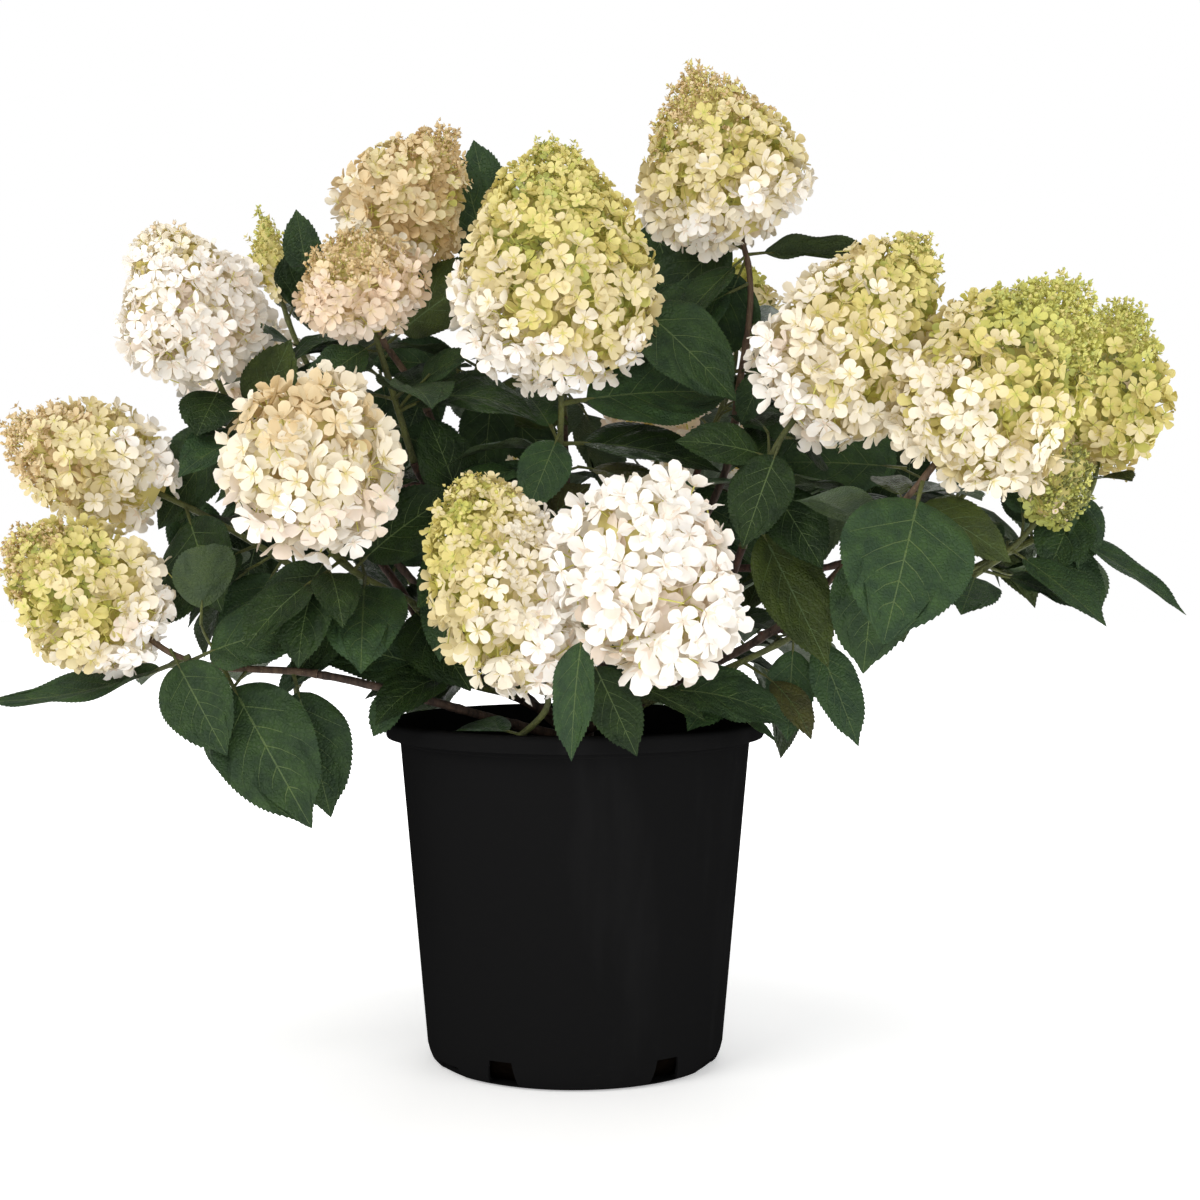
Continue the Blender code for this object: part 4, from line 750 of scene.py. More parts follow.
def mottle_group(name):
    """Living tissue: two tones in soft patches, with a fine grain in its gloss and relief."""
    colours = {"Base": (0.5, 0.5, 0.5), "Second": (0.4, 0.4, 0.4)}
    numbers = {"Patch Scale": 60.0, "Grain Scale": 900.0, "Roughness Low": 0.4, "Roughness High": 0.6}
    tree, given, place, leave = surface_group(name, colours, numbers)
    patches = noise_at(tree, place, given["Patch Scale"], 3.0)
    grain = noise_at(tree, place, given["Grain Scale"], 2.0)
    colour = mixed(tree, ranged(tree, patches, *PATCH_EDGES), given["Base"], given["Second"])
    gloss = ranged(tree, grain, *NOISE_RANGE, given["Roughness Low"], given["Roughness High"])
    return surface_results(tree, leave, colour, gloss, grain)


def leaf_group(name):
    """Leaf tissue: as living tissue, with a fine net of sunken veinlets."""
    colours = {"Base": (0.05, 0.08, 0.03), "Second": (0.04, 0.06, 0.02)}
    numbers = {"Patch Scale": 60.0, "Net Scale": 300.0, "Net Darkness": 0.25}
    numbers |= {"Roughness Low": 0.4, "Roughness High": 0.6}
    tree, given, place, leave = surface_group(name, colours, numbers)
    patches = noise_at(tree, place, given["Patch Scale"], 3.0)
    net = cells_at(tree, place, given["Net Scale"], "DISTANCE_TO_EDGE")
    colour = mixed(tree, ranged(tree, patches, *PATCH_EDGES), given["Base"], given["Second"])
    line = ranged(tree, net, 0.0, VEINLET_WIDTH, given["Net Darkness"], 0.0)
    colour = mixed(tree, line, colour, given["Second"])
    gloss = ranged(tree, patches, *NOISE_RANGE, given["Roughness Low"], given["Roughness High"])
    return surface_results(tree, leave, colour, gloss, ranged(tree, net, 0.0, VEINLET_SLOPE))


def bark_group(name):
    """Bark: grey-brown ridges over darker furrows, drawn out along the limbs, with paler corky specks."""
    colours = {"Ridge": (0.2, 0.12, 0.08), "Furrow": (0.05, 0.03, 0.02), "Speck": (0.3, 0.22, 0.15)}
    tree, given, place, leave = surface_group(name, colours, {"Scale": 120.0})
    ridges = noise_at(tree, stretched(tree, place, BARK_STRETCH), given["Scale"], 5.0, 0.65)
    specks = cells_at(tree, place, SPECK_SCALE)
    depth = ranged(tree, ridges, *RIDGE_EDGES)
    colour = mixed(tree, depth, given["Furrow"], given["Ridge"])
    colour = mixed(tree, ranged(tree, specks, 0.0, SPECK_SIZE, 1.0, 0.0), colour, given["Speck"])
    return surface_results(tree, leave, colour, ranged(tree, ridges, *NOISE_RANGE, 0.9, 0.65), depth)


def plastic_group(name):
    """Moulded plastic: a fine pebble, faint upright drag marks and a little pale dust."""
    colours = {"Base": (0.01, 0.01, 0.01), "Dust": (0.05, 0.045, 0.04)}
    tree, given, place, leave = surface_group(name, colours, {"Pebble Scale": 1400.0, "Dust Scale": 22.0})
    drag = noise_at(tree, stretched(tree, place, DRAG_STRETCH), given["Dust Scale"], 6.0, 0.6)
    pebble = noise_at(tree, place, given["Pebble Scale"], 1.0)
    colour = mixed(tree, ranged(tree, drag, *DUST_EDGES, 0.0, DUST_MOST), given["Base"], given["Dust"])
    return surface_results(tree, leave, colour, ranged(tree, drag, *NOISE_RANGE, 0.36, 0.50), pebble)


GROUP_MAKERS = {
    "tissue_mottle": mottle_group,
    "leaf_tissue": leaf_group,
    "bark_weave": bark_group,
    "plastic_surface": plastic_group,
}


def shared_group(name):
    """Each shader group is built once, when a finish first asks for it."""
    return bpy.data.node_groups.get(name) or GROUP_MAKERS[name](name)


def finish(name, group, values, bump=0.2, distance=0.0003, **sockets):
    """A Principled material whose colour, roughness and relief come from one shared group."""
    if name in bpy.data.materials:
        return bpy.data.materials[name]
    material = bpy.data.materials.new(name)
    material.use_nodes = True
    tree = material.node_tree
    shader = tree.nodes["Principled BSDF"]
    surface = tree.nodes.new("ShaderNodeGroup")
    surface.node_tree = shared_group(group)
    for label, value in values.items():
        surface.inputs[label].default_value = (*value, 1) if isinstance(value, (tuple, list)) else value
    tree.links.new(surface.outputs["Colour"], shader.inputs["Base Color"])
    tree.links.new(surface.outputs["Roughness"], shader.inputs["Roughness"])
    sockets_of_bump = {"Strength": bump, "Distance": distance, "Height": surface.outputs["Height"]}
    relief = new_node(tree, "ShaderNodeBump", sockets_of_bump)
    tree.links.new(relief.outputs["Normal"], shader.inputs["Normal"])
    for label, value in sockets.items():
        shader.inputs[label.replace("_", " ")].default_value = value
    material.cycles.emission_sampling = "NONE"
    material.diffuse_color = (*next(iter(values.values())), 1)
    return material


def shade_of(colour, *factors):
    """A colour made darker or lighter, by one factor or by one for each channel."""
    factors = factors if len(factors) > 1 else factors * 3
    return tuple(min(1.0, channel * factor) for channel, factor in zip(colour, factors))


def tissue_values(base, second, patch_scale, grain_scale, roughness):
    """Values for the mottle of living tissue, and of mix and paper too. roughness: lowest and highest."""
    return {
        "Base": base,
        "Second": second,
        "Patch Scale": patch_scale,
        "Grain Scale": grain_scale,
        "Roughness Low": roughness[0],
        "Roughness High": roughness[1],
    }


def petal_finish(name):
    base = PETAL_TINTS[name]
    values = tissue_values(base, shade_of(base, 0.97, 0.95, 0.90), 90.0, 700.0, (0.50, 0.68))
    # Painted light: a faint warm emission of the petal's own colour stands in for light coming through the
    # petals.
    glow = (*shade_of(base, 1, 0.88, 0.66), 1)
    look = {"Emission_Color": glow, "Emission_Strength": PETAL_GLOW}
    return finish(f"petal_{name}", "tissue_mottle", values, 0.12, 0.0002, **look)


def leaf_finish(name):
    green = tuple(bpy.context.scene.hydrangea_leaves.green)
    if name in LEAF_LOOKS:
        factors, second = LEAF_LOOKS[name]
        base = shade_of(green, *factors)
    else:
        base, second = PLAIN_LOOKS[name]
    values = {
        "Base": base,
        "Second": shade_of(base, second, second, second + 0.30),
        "Patch Scale": 75.0,
        "Net Scale": 330.0,
        "Net Darkness": 0.5,
        "Roughness Low": 0.42,
        "Roughness High": 0.58,
    }
    return finish(name, "leaf_tissue", values, 0.70, 0.0006, Specular_IOR_Level=0.17)


def bark_finish(name, ridge, furrow, speck):
    values = {"Ridge": ridge, "Furrow": furrow, "Speck": speck, "Scale": 240.0}
    return finish(name, "bark_weave", values, 0.55, 0.0006)


# The source's rule, written again


def metres(point):
    return Vector(point) * MM


def hermite(start, lift, end, arrive, count):
    """Points of a smooth path that leaves start along lift and reaches end along arrive."""
    reach = (end - start).length
    out, into = lift.normalized() * reach, arrive.normalized() * reach
    path = []
    for i in range(count):
        t = i / (count - 1)
        a, b = 2 * t**3 - 3 * t**2 + 1, t**3 - 2 * t**2 + t
        c, d = -2 * t**3 + 3 * t**2, t**3 - t**2
        path.append(start * a + out * b + end * c + into * d)
    return path


def shoot_start(shoot):
    """Where the shoot's stem begins and the way it leaves: straight on from its bough's tip."""
    foot, base = metres(shoot.foot), metres(shoot.base)
    return foot, (base - foot).normalized()


def shoot_of(cane):
    return next(shoot for shoot in SHOOTS if shoot.name == cane.shoot)


def limb_ends(cane, paths):
    """Start, first way, end and last way of a limb."""
    end, arrive = shoot_start(shoot_of(cane))
    if cane.parent:
        parent = paths[cane.parent]
        place = cane.at * (len(parent) - 1)
        low = int(place)
        start = parent[low].lerp(parent[low + 1], place - low)
    else:
        start = metres(cane.start)
    return start, Vector(cane.lift), end, arrive


def rule_paths():
    """The solids' own centre lines, by name."""
    paths = {}
    for cane in CANES:
        paths[cane.name] = hermite(*limb_ends(cane, paths), BOUGH_RINGS if cane.parent else CANE_RINGS)
    return paths


def stem_path(shoot, count=STEM_RINGS):
    """The shoot's own stem, from its bough's tip up into its head."""
    foot, out = shoot_start(shoot)
    base = metres(shoot.base)
    start = foot if shoot.parent else foot + out * SEAT_GAP
    if shoot.tip is None:
        return hermite(start, out, base, (base - foot) + Vector((0, 0, 0.02)), count)
    axis = (metres(shoot.tip) - base).normalized()
    path = hermite(start, out, base, axis, count - 1)
    return path + [base + axis * min(0.03, (metres(shoot.tip) - base).length * 0.35)]


def on_path(path, share):
    place = min(max(share, 0.0), 0.9999) * (len(path) - 1)
    low = int(place)
    return path[low].lerp(path[low + 1], place - low), (path[low + 1] - path[low]).normalized()


def whorl_side(way):
    """A way square to a stem, to count the turns of its leaves from."""
    return way.cross(UP if abs(way.z) < 0.95 else VIEWER).normalized()


def rule_leaves(shoot, path, rng):
    """Whorls of leaves up the stem, reaching out and drooping."""
    first = rng.uniform(0, math.pi)
    for node in range(shoot.pairs):
        share = 0.22 + 0.62 * node / max(1, shoot.pairs - 1) if shoot.pairs > 1 else 0.5
        _, way = on_path(path, share)
        side = whorl_side(way)
        for turn in (0, math.pi * 0.66, math.pi * 1.33):
            angle = first + node * math.pi / 3 + turn + rng.uniform(-0.2, 0.2)
            out = Quaternion(way, angle) @ side
            aim = out + way * rng.uniform(0.25, 0.55) + UP * 0.1
            length = rng.uniform(*RULE_LEAF_LENGTH) / MM
            width = length * rng.uniform(*RULE_LEAF_RATIO)
            face = UP + Vector((out.x, out.y, 0)) * 0.5
            yield Leaf(share, tuple(aim), length, width, tuple(face), rng.uniform(35, 60))


def variations(leaf, way):
    """The leaf as wanted, then swung round its stem, lifted or dropped, and a little shorter."""
    for size in (1.0, 0.86, 0.72):
        for lift in (0.0, 0.25, -0.25, 0.55):
            for degrees in TURNS_TRIED:
                swing = Quaternion(way, math.radians(degrees))
                aim = swing @ Vector(leaf.aim).normalized() + UP * lift
                face = swing @ Vector(leaf.face)
                yield Leaf(leaf.at, tuple(aim), leaf.length * size, leaf.width * size, tuple(face), leaf.bend)


def leaf_line(root, leaf):
    """The midrib, as (place, way, side, up) at a share of its length: an arc that bends down."""
    length = leaf.length * MM
    way = Vector(leaf.aim).normalized()
    face = Vector(leaf.face)
    up = (face - way * face.dot(way)).normalized()
    side = way.cross(up)
    turn = math.radians(leaf.bend or 0.5)

    def at(share):
        angle = turn * share
        along, down = math.sin(angle) / turn, (1 - math.cos(angle)) / turn
        place = root + (way * along - up * down) * length
        bent_way = way * math.cos(angle) - up * math.sin(angle)
        return place, bent_way, side, up * math.cos(angle) + way * math.sin(angle)

    return at


def on_blade(line, share):
    """The midrib at a share of the blade alone, from the petiole's end at 0 to the tip at 1."""
    return line(PETIOLE_SHARE + (1 - PETIOLE_SHARE) * share)


def plain_half_width(leaf, station):
    """Half width of the solids' blade, at a share of the midrib's whole length."""
    share = (station - PETIOLE_SHARE) / (1 - PETIOLE_SHARE)
    return leaf.width * MM / 2 * (math.sin(math.pi * share**0.82) ** 0.75 if 0 < share < 1 else 0.0)


def blade_half_width(share):
    """Half width of the finished blade as a share of its greatest, with a finer tip than the solids'."""
    if not 0 < share < 1:
        return 0.0
    body = 3.05 * share**0.68 * (1 - share) ** 0.98
    return body * (1 - 0.30 * math.exp(-(((share - 0.93) / 0.08) ** 2)))


def leaf_in_solid(leaf, root, way, surface, stations):
    """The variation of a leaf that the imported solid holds, or None where the solid skipped it."""
    for tried in variations(leaf, way):
        line = leaf_line(root, tried)
        if surface.find_nearest(line(1)[0], FOUND_WITHIN)[0] is None:
            continue
        for station in stations:
            place, _, side, up = line(station)
            half = plain_half_width(tried, station)
            out, rise = side * half * math.cos(LEAF_FOLD), up * half * math.sin(LEAF_FOLD)
            for edge in (place + out + rise, place - out + rise):
                if surface.find_nearest(edge, FOUND_WITHIN)[0] is not None:
                    return tried
    return None


def head_share(s, taper):
    """Radius of a head as a share of its greatest, at a share s of its length: round, or drawn to a tip."""
    if not 0 < s < 1:
        return 0.0
    round_share = math.sqrt(4 * s * (1 - s))
    cone_share = math.sin(math.pi * s**0.62) ** 0.8
    return round_share * (1 - taper) + cone_share * taper


def head_frame(shoot):
    base, tip = metres(shoot.base), metres(shoot.tip)
    axis = (tip - base).normalized()
    side = axis.cross(VIEWER if abs(axis.y) < 0.9 else UP).normalized()
    return base, axis, side, axis.cross(side), (tip - base).length


def head_point(shoot, s, turn, share=1.0):
    base, axis, side, across, length = head_frame(shoot)
    radius = shoot.radius * MM * head_share(s, shoot.taper) * share
    return base + axis * length * s + (side * math.cos(turn) + across * math.sin(turn)) * radius


def head_out(shoot, s, turn):
    """The way straight out of the head's outline."""
    base, axis, _, _, length = head_frame(shoot)
    step = 0.02
    s = min(max(s, step * 1.5), 1 - step * 1.5)
    middle = head_point(shoot, s, turn)
    along = (head_point(shoot, s + step, turn) - head_point(shoot, s - step, turn)).normalized()
    around = axis.cross(middle - base - axis * length * s).normalized()
    out = around.cross(along).normalized()
    return out if out.dot(middle - base - axis * length * 0.4) > 0 else -out


# Mesh making


def full_turn(count):
    """Angles round a full turn in equal steps."""
    return [2 * math.pi * i / count for i in range(count)]


def spread(first, last, count):
    return [first + (last - first) * i / (count - 1) for i in range(count)]


def blended(knots, share):
    """A value between knots of (share, value), joined by straight lines."""
    for (a, low), (b, high) in zip(knots, knots[1:]):
        if share <= b:
            return low + (high - low) * (share - a) / (b - a)
    return knots[-1][1]


class Collected:
    """Corners, faces and material slots of one joined piece, gathered before its mesh is made."""

    def __init__(self):
        self.points, self.faces, self.slots = [], [], []

    def add(self, points, faces, slot=0):
        base = len(self.points)
        self.points += [tuple(point) for point in points]
        self.faces += [tuple(base + i for i in face) for face in faces]
        self.slots += [slot] * len(faces) if isinstance(slot, int) else slot

    def mesh(self, name, smooth_angle=None):
        made = bpy.data.meshes.new(name)
        made.from_pydata(self.points, [], self.faces)
        made.polygons.foreach_set("material_index", self.slots)
        made.shade_smooth()
        if smooth_angle:
            made.set_sharp_from_angle(angle=math.radians(smooth_angle))
        made.update()
        return made


def new_object(name, data):
    """A new object in the scene."""
    made = bpy.data.objects.new(name, data)
    bpy.context.scene.collection.objects.link(made)
    return made


def new_piece(name, mesh, materials, nodes=()):
    """Puts a finished mesh in the scene, riding on the plant's one body and standing for its solids."""
    piece = new_object(name, mesh)
    for material in materials:
        mesh.materials.append(material)
    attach(piece, "root")
    if nodes:
        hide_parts(*nodes)


def evaluated_mesh(obj, name):
    """An object's mesh with its modifiers applied."""
    bpy.context.view_layer.update()
    shown = obj.evaluated_get(bpy.context.evaluated_depsgraph_get())
    made = bpy.data.meshes.new_from_object(shown)
    made.name = name
    return made


def ring_faces(ring_count, sides, capped=True):
    """Faces of a lofted tube of rings of `sides` points, with flat caps where wanted."""
    faces = []
    for ring in range(ring_count - 1):
        low, high = ring * sides, (ring + 1) * sides
        for i in range(sides):
            j = (i + 1) % sides
            faces.append((low + i, low + j, high + j, high + i))
    if capped:
        faces.append(tuple(reversed(range(sides))))
        faces.append(tuple((ring_count - 1) * sides + i for i in range(sides)))
    return faces


def swept(path, radii, sides, relief=None):
    """Points and faces of a tube swept along a path without twist. relief(point, turn) moves its surface."""
    last = len(path) - 1
    ways = [(path[min(i + 1, last)] - path[max(i - 1, 0)]).normalized() for i in range(len(path))]
    side = ways[0].cross(UP if abs(ways[0].z) < 0.9 else VIEWER).normalized()
    points = []
    for at, way, radius in zip(path, ways, radii):
        side = (side - way * side.dot(way)).normalized()
        across = way.cross(side)
        for turn in full_turn(sides):
            out = side * math.cos(turn) + across * math.sin(turn)
            point = at + out * radius
            if relief:
                point += out * relief(point, turn)
            points.append(point)
    return points, ring_faces(len(path), sides)


def turned_mesh(name, profile, sides):
    """A closed solid turned about Z. The profile's first and last points lie on the axis."""
    points = []
    for radius, height in profile[1:-1]:
        points += [(radius * math.sin(turn), -radius * math.cos(turn), height) for turn in full_turn(sides)]
    faces = [tuple(reversed(face)) for face in ring_faces(len(profile) - 2, sides, capped=False)]
    foot, top = len(points), len(points) + 1
    last = (len(profile) - 3) * sides
    points += [(0, 0, profile[0][1]), (0, 0, profile[-1][1])]
    faces += [(foot, i, (i + 1) % sides) for i in range(sides)]
    faces += [(top, last + (i + 1) % sides, last + i) for i in range(sides)]
    return outward_mesh(name, points, faces)


def outward_mesh(name, points, faces):
    """A closed mesh with its faces turned outwards."""
    made = Collected()
    made.add(points, faces)
    mesh = made.mesh(name)
    shape = bmesh.new()
    shape.from_mesh(mesh)
    bmesh.ops.recalc_face_normals(shape, faces=shape.faces)
    shape.to_mesh(mesh)
    shape.free()
    return mesh


# Pot and potting mix


def wall_radius(height):
    share = height / (POT_HEIGHT - LIP_HEIGHT)
    return WALL_FOOT_RADIUS + (WALL_TOP_RADIUS - WALL_FOOT_RADIUS) * share


def inner_radius(height):
    low = wall_radius(CORNER_HEIGHT) - WALL_THICKNESS
    high = WALL_TOP_RADIUS - WALL_THICKNESS
    share = (height - CORNER_HEIGHT) / (POT_HEIGHT - INNER_LIP_DROP - CORNER_HEIGHT)
    return low + (high - low) * share


def pot_section(rounding):
    """Half section of the pot: a rounded foot, the drawn wall, a faint step, the lip, and the inside."""
    lip_foot = POT_HEIGHT - LIP_HEIGHT
    step = wall_radius(lip_foot - STEP_HEIGHT)
    section = [(0, 0.0), *FOOT_CURVE, (wall_radius(CORNER_HEIGHT), CORNER_HEIGHT)]
    section += [(wall_radius(height), height) for height in (*WALL_HEIGHTS, lip_foot - STEP_HEIGHT)]
    section += [(step + out, lip_foot - down) for out, down in STEP_CURVE]
    section += [(RIM_RADIUS - inward, lip_foot + up) for inward, up in LIP_CURVE]
    for turn in spread(0, math.pi / 2, LIP_STEPS):
        out, up = rounding * (1 - math.cos(turn)), rounding * (1 - math.sin(turn))
        section.append((RIM_RADIUS - out, POT_HEIGHT - up))
    section += [(WALL_TOP_RADIUS - inward, POT_HEIGHT - down) for inward, down in INNER_LIP_CURVE]
    section += [(inner_radius(height), height) for height in (POT_HEIGHT - INNER_LIP_FOOT, *INNER_HEIGHTS)]
    return section + [INNER_CORNER, (FOOT_RADIUS - 0.001, FLOOR_THICKNESS), (0, FLOOR_THICKNESS)]


def wall_cutter(name, angle, cut, inner_edge):
    """A radial wedge, a trapezium seen from outside, that cuts the wall at an angle from the front."""
    foot_width, top_width, sill, top = cut
    points = []
    for reach in (inner_edge, WALL_FOOT_RADIUS + 0.02):
        points += [(-foot_width / 2, -reach, sill), (foot_width / 2, -reach, sill)]
        points += [(top_width / 2, -reach, top), (-top_width / 2, -reach, top)]
    faces = [(0, 1, 2, 3), (4, 7, 6, 5), (0, 4, 5, 1), (1, 5, 6, 2), (2, 6, 7, 3), (3, 7, 4, 0)]
    cutter = new_object(name, outward_mesh(name, points, faces))
    cutter.rotation_euler.z = math.radians(angle)
    return cutter


class HYDRANGEA_OT_pot(Operator):
    """Turn the nursery pot and cut its drain windows and notches"""

    bl_idname = "hydrangea.pot"
    bl_label = "Nursery Pot"

    def execute(self, context):
        settings = context.scene.hydrangea_pot
        shell = turned_mesh("pot_shell", pot_section(settings.lip_rounding), settings.wall_segments)
        blank = new_object("pot_blank", shell)
        cutters = []
        for i, angle in enumerate(WINDOW_ANGLES):
            cutters.append(wall_cutter(f"window_{i}", angle, DRAIN_WINDOW, FOOT_RADIUS - 0.012))
        for i, angle in enumerate(NOTCH_ANGLES):
            cutters.append(wall_cutter(f"notch_{i}", angle, NOTCH, FOOT_RADIUS + 0.001))
        for cutter in cutters:
            modifier = blank.modifiers.new(cutter.name, "BOOLEAN")
            modifier.operation = "DIFFERENCE"
            modifier.solver = "EXACT"
            modifier.object = cutter
        mesh = evaluated_mesh(blank, "pot_shell")
        mesh.shade_smooth()
        mesh.set_sharp_from_angle(angle=math.radians(38))
        for obj in [blank, *cutters]:
            bpy.data.objects.remove(obj, do_unlink=True)
        plastic = tuple(settings.plastic)
        values = {"Base": plastic, "Dust": shade_of(plastic, 2.6), "Pebble Scale": 1500.0, "Dust Scale": 24.0}
        black = finish("black_plastic", "plastic_surface", values, 0.08, 0.0002, Specular_IOR_Level=0.0)
        new_piece("pot_shell", mesh, [black], ["pot"])
        return {"FINISHED"}


def scatter_tree(name, tints, stalk_finish=None):
    """Geometry nodes that set a template on every point, turned to face its way, with its tint."""
    inputs = [
        ("Points", "NodeSocketGeometry", None),
        ("Templates", "NodeSocketCollection", None),
        ("Size", "NodeSocketFloat", 1.0),
        ("Size Spread", "NodeSocketFloat", 0.1),
        ("Seed", "NodeSocketInt", 1),
    ]
    outputs = [("Pieces", "NodeSocketGeometry")]
    tree, enter, leave = node_group(name, "GeometryNodeTree", inputs, outputs)
    given = enter.outputs

    def made(kind, links, **values):
        return new_node(tree, kind, links, **values)

    def maths(operation, first, second):
        node = made("ShaderNodeMath", {}, operation=operation)
        for socket, value in zip(node.inputs, (first, second)):
            feed(tree, socket, value)
        return node.outputs["Value"]

    def random_value(kind, low, high, offset):
        node = made("FunctionNodeRandomValue", {}, data_type=kind)
        sockets = {socket.name: socket for socket in node.inputs if socket.enabled}
        for label, value in (("Min", low), ("Max", high), ("Seed", maths("ADD", given["Seed"], offset))):
            feed(tree, sockets[label], value)
        return next(socket for socket in node.outputs if socket.enabled)

    def named(kind, label):
        node = made("GeometryNodeInputNamedAttribute", {}, data_type=kind)
        node.inputs["Name"].default_value = label
        return next(socket for socket in node.outputs if socket.enabled and socket.name == "Attribute")

    def coated(geometry, material, chosen=None):
        node = made("GeometryNodeSetMaterial", {"Geometry": geometry})
        node.inputs["Material"].default_value = material
        if chosen:
            tree.links.new(chosen, node.inputs["Selection"])
        return node.outputs["Geometry"]

    templates = made("GeometryNodeCollectionInfo", {"Collection": given["Templates"]})
    templates.inputs["Separate Children"].default_value = True
    templates.inputs["Reset Children"].default_value = True
    aimed = made("FunctionNodeAlignRotationToVector", {"Vector": named("FLOAT_VECTOR", "facing")}, axis="Z")
    spin = made("ShaderNodeCombineXYZ", {"Z": random_value("FLOAT", 0.0, 2 * math.pi, 1)})
    turns = {"Rotation": aimed.outputs["Rotation"], "Rotate By": spin.outputs["Vector"]}
    spun = made("FunctionNodeRotateRotation", turns, rotation_space="LOCAL")
    wander = maths("MULTIPLY", random_value("FLOAT", -1.0, 1.0, 2), given["Size Spread"])
    size = maths("MULTIPLY", named("FLOAT", "size"), given["Size"])
    places = {
        "Points": given["Points"],
        "Instance": templates.outputs["Instances"],
        "Instance Index": random_value("INT", 0, 3, 3),
        "Rotation": spun.outputs["Rotation"],
        "Scale": maths("MULTIPLY", size, maths("ADD", wander, 1.0)),
    }
    placed = made("GeometryNodeInstanceOnPoints", places)
    placed.inputs["Pick Instance"].default_value = True
    real = made("GeometryNodeRealizeInstances", {"Geometry": placed.outputs["Instances"]})
    geometry = real.outputs["Geometry"]
    if len(tints) == 1:
        geometry = coated(geometry, tints[0])
    else:
        tint = maths("ADD", named("INT", "tint"), named("INT", "heart"))
        for i, material in enumerate(tints):
            same = made("FunctionNodeCompare", {}, data_type="FLOAT", operation="EQUAL")
            for label, value in (("Epsilon", 0.4), ("A", tint), ("B", float(i))):
                feed(tree, same.inputs[label], value)
            geometry = coated(geometry, material, same.outputs["Result"])
    if stalk_finish:
        geometry = coated(geometry, stalk_finish, named("BOOLEAN", "stalk"))
    tree.links.new(geometry, leave.inputs["Pieces"])
    return tree


def points_mesh(name, places):
    """A mesh of loose points with their facing, tint and size. places: (point, facing, tint, size)."""
    points, facings, tints, sizes = ([place[i] for place in places] for i in range(4))
    mesh = bpy.data.meshes.new(name)
    mesh.from_pydata([tuple(point) for point in points], [], [])
    facing = mesh.attributes.new("facing", "FLOAT_VECTOR", "POINT")
    facing.data.foreach_set("vector", [value for way in facings for value in way])
    for label, kind, values in (("tint", "INT", tints), ("size", "FLOAT", sizes)):
        mesh.attributes.new(label, kind, "POINT").data.foreach_set("value", values)
    return mesh


def scattered(name, places, templates, tree, size, size_spread, seed):
    """Runs the scatter tree on a set of places and returns the plain mesh."""
    carrier = new_object(name, points_mesh(name, places))
    modifier = carrier.modifiers.new("scatter", "NODES")
    modifier.node_group = tree
    values = {"Templates": templates, "Size": size, "Size Spread": size_spread, "Seed": seed}
    for item in tree.interface.items_tree:
        if item.in_out == "INPUT" and item.name in values:
            modifier[item.identifier] = values[item.name]
    mesh = evaluated_mesh(carrier, name)
    bpy.data.objects.remove(carrier, do_unlink=True)
    keep_used_slots(mesh)
    return mesh


def keep_used_slots(mesh):
    """Drops the material slots that no face uses."""
    slots = [0] * len(mesh.polygons)
    mesh.polygons.foreach_get("material_index", slots)
    used = sorted(set(slots))
    materials = [mesh.materials[i] for i in used]
    mesh.materials.clear()
    for material in materials:
        mesh.materials.append(material)
    mesh.polygons.foreach_set("material_index", [used.index(slot) for slot in slots])


def template_collection(name, meshes):
    """Templates for the scatter tree, in a collection that isn't part of the view layer."""
    group = bpy.data.collections.new(name)
    for i, mesh in enumerate(meshes):
        group.objects.link(bpy.data.objects.new(f"{name}_{i}", mesh))
    return group


def drop_templates(group):
    for obj in list(group.objects):
        bpy.data.objects.remove(obj, do_unlink=True)
    bpy.data.collections.remove(group)


def crumb_mesh(index):
    """A splintery chip of bark: a box of eight corners pulled out of true."""
    rng = random.Random(900 + index)
    points = []
    for corner in itertools.product((-1, 1), repeat=3):
        pull = [rng.uniform(*CRUMB_PULL) for _ in range(3)]
        points.append([side * own * share for side, own, share in zip(corner, pull, CRUMB_SHAPE)])
    faces = [(0, 1, 3, 2), (4, 6, 7, 5), (0, 4, 5, 1), (2, 3, 7, 6), (0, 2, 6, 4), (1, 5, 7, 3)]
    made = Collected()
    made.add(points, faces)
    return made.mesh(f"crumb_{index}", 30)


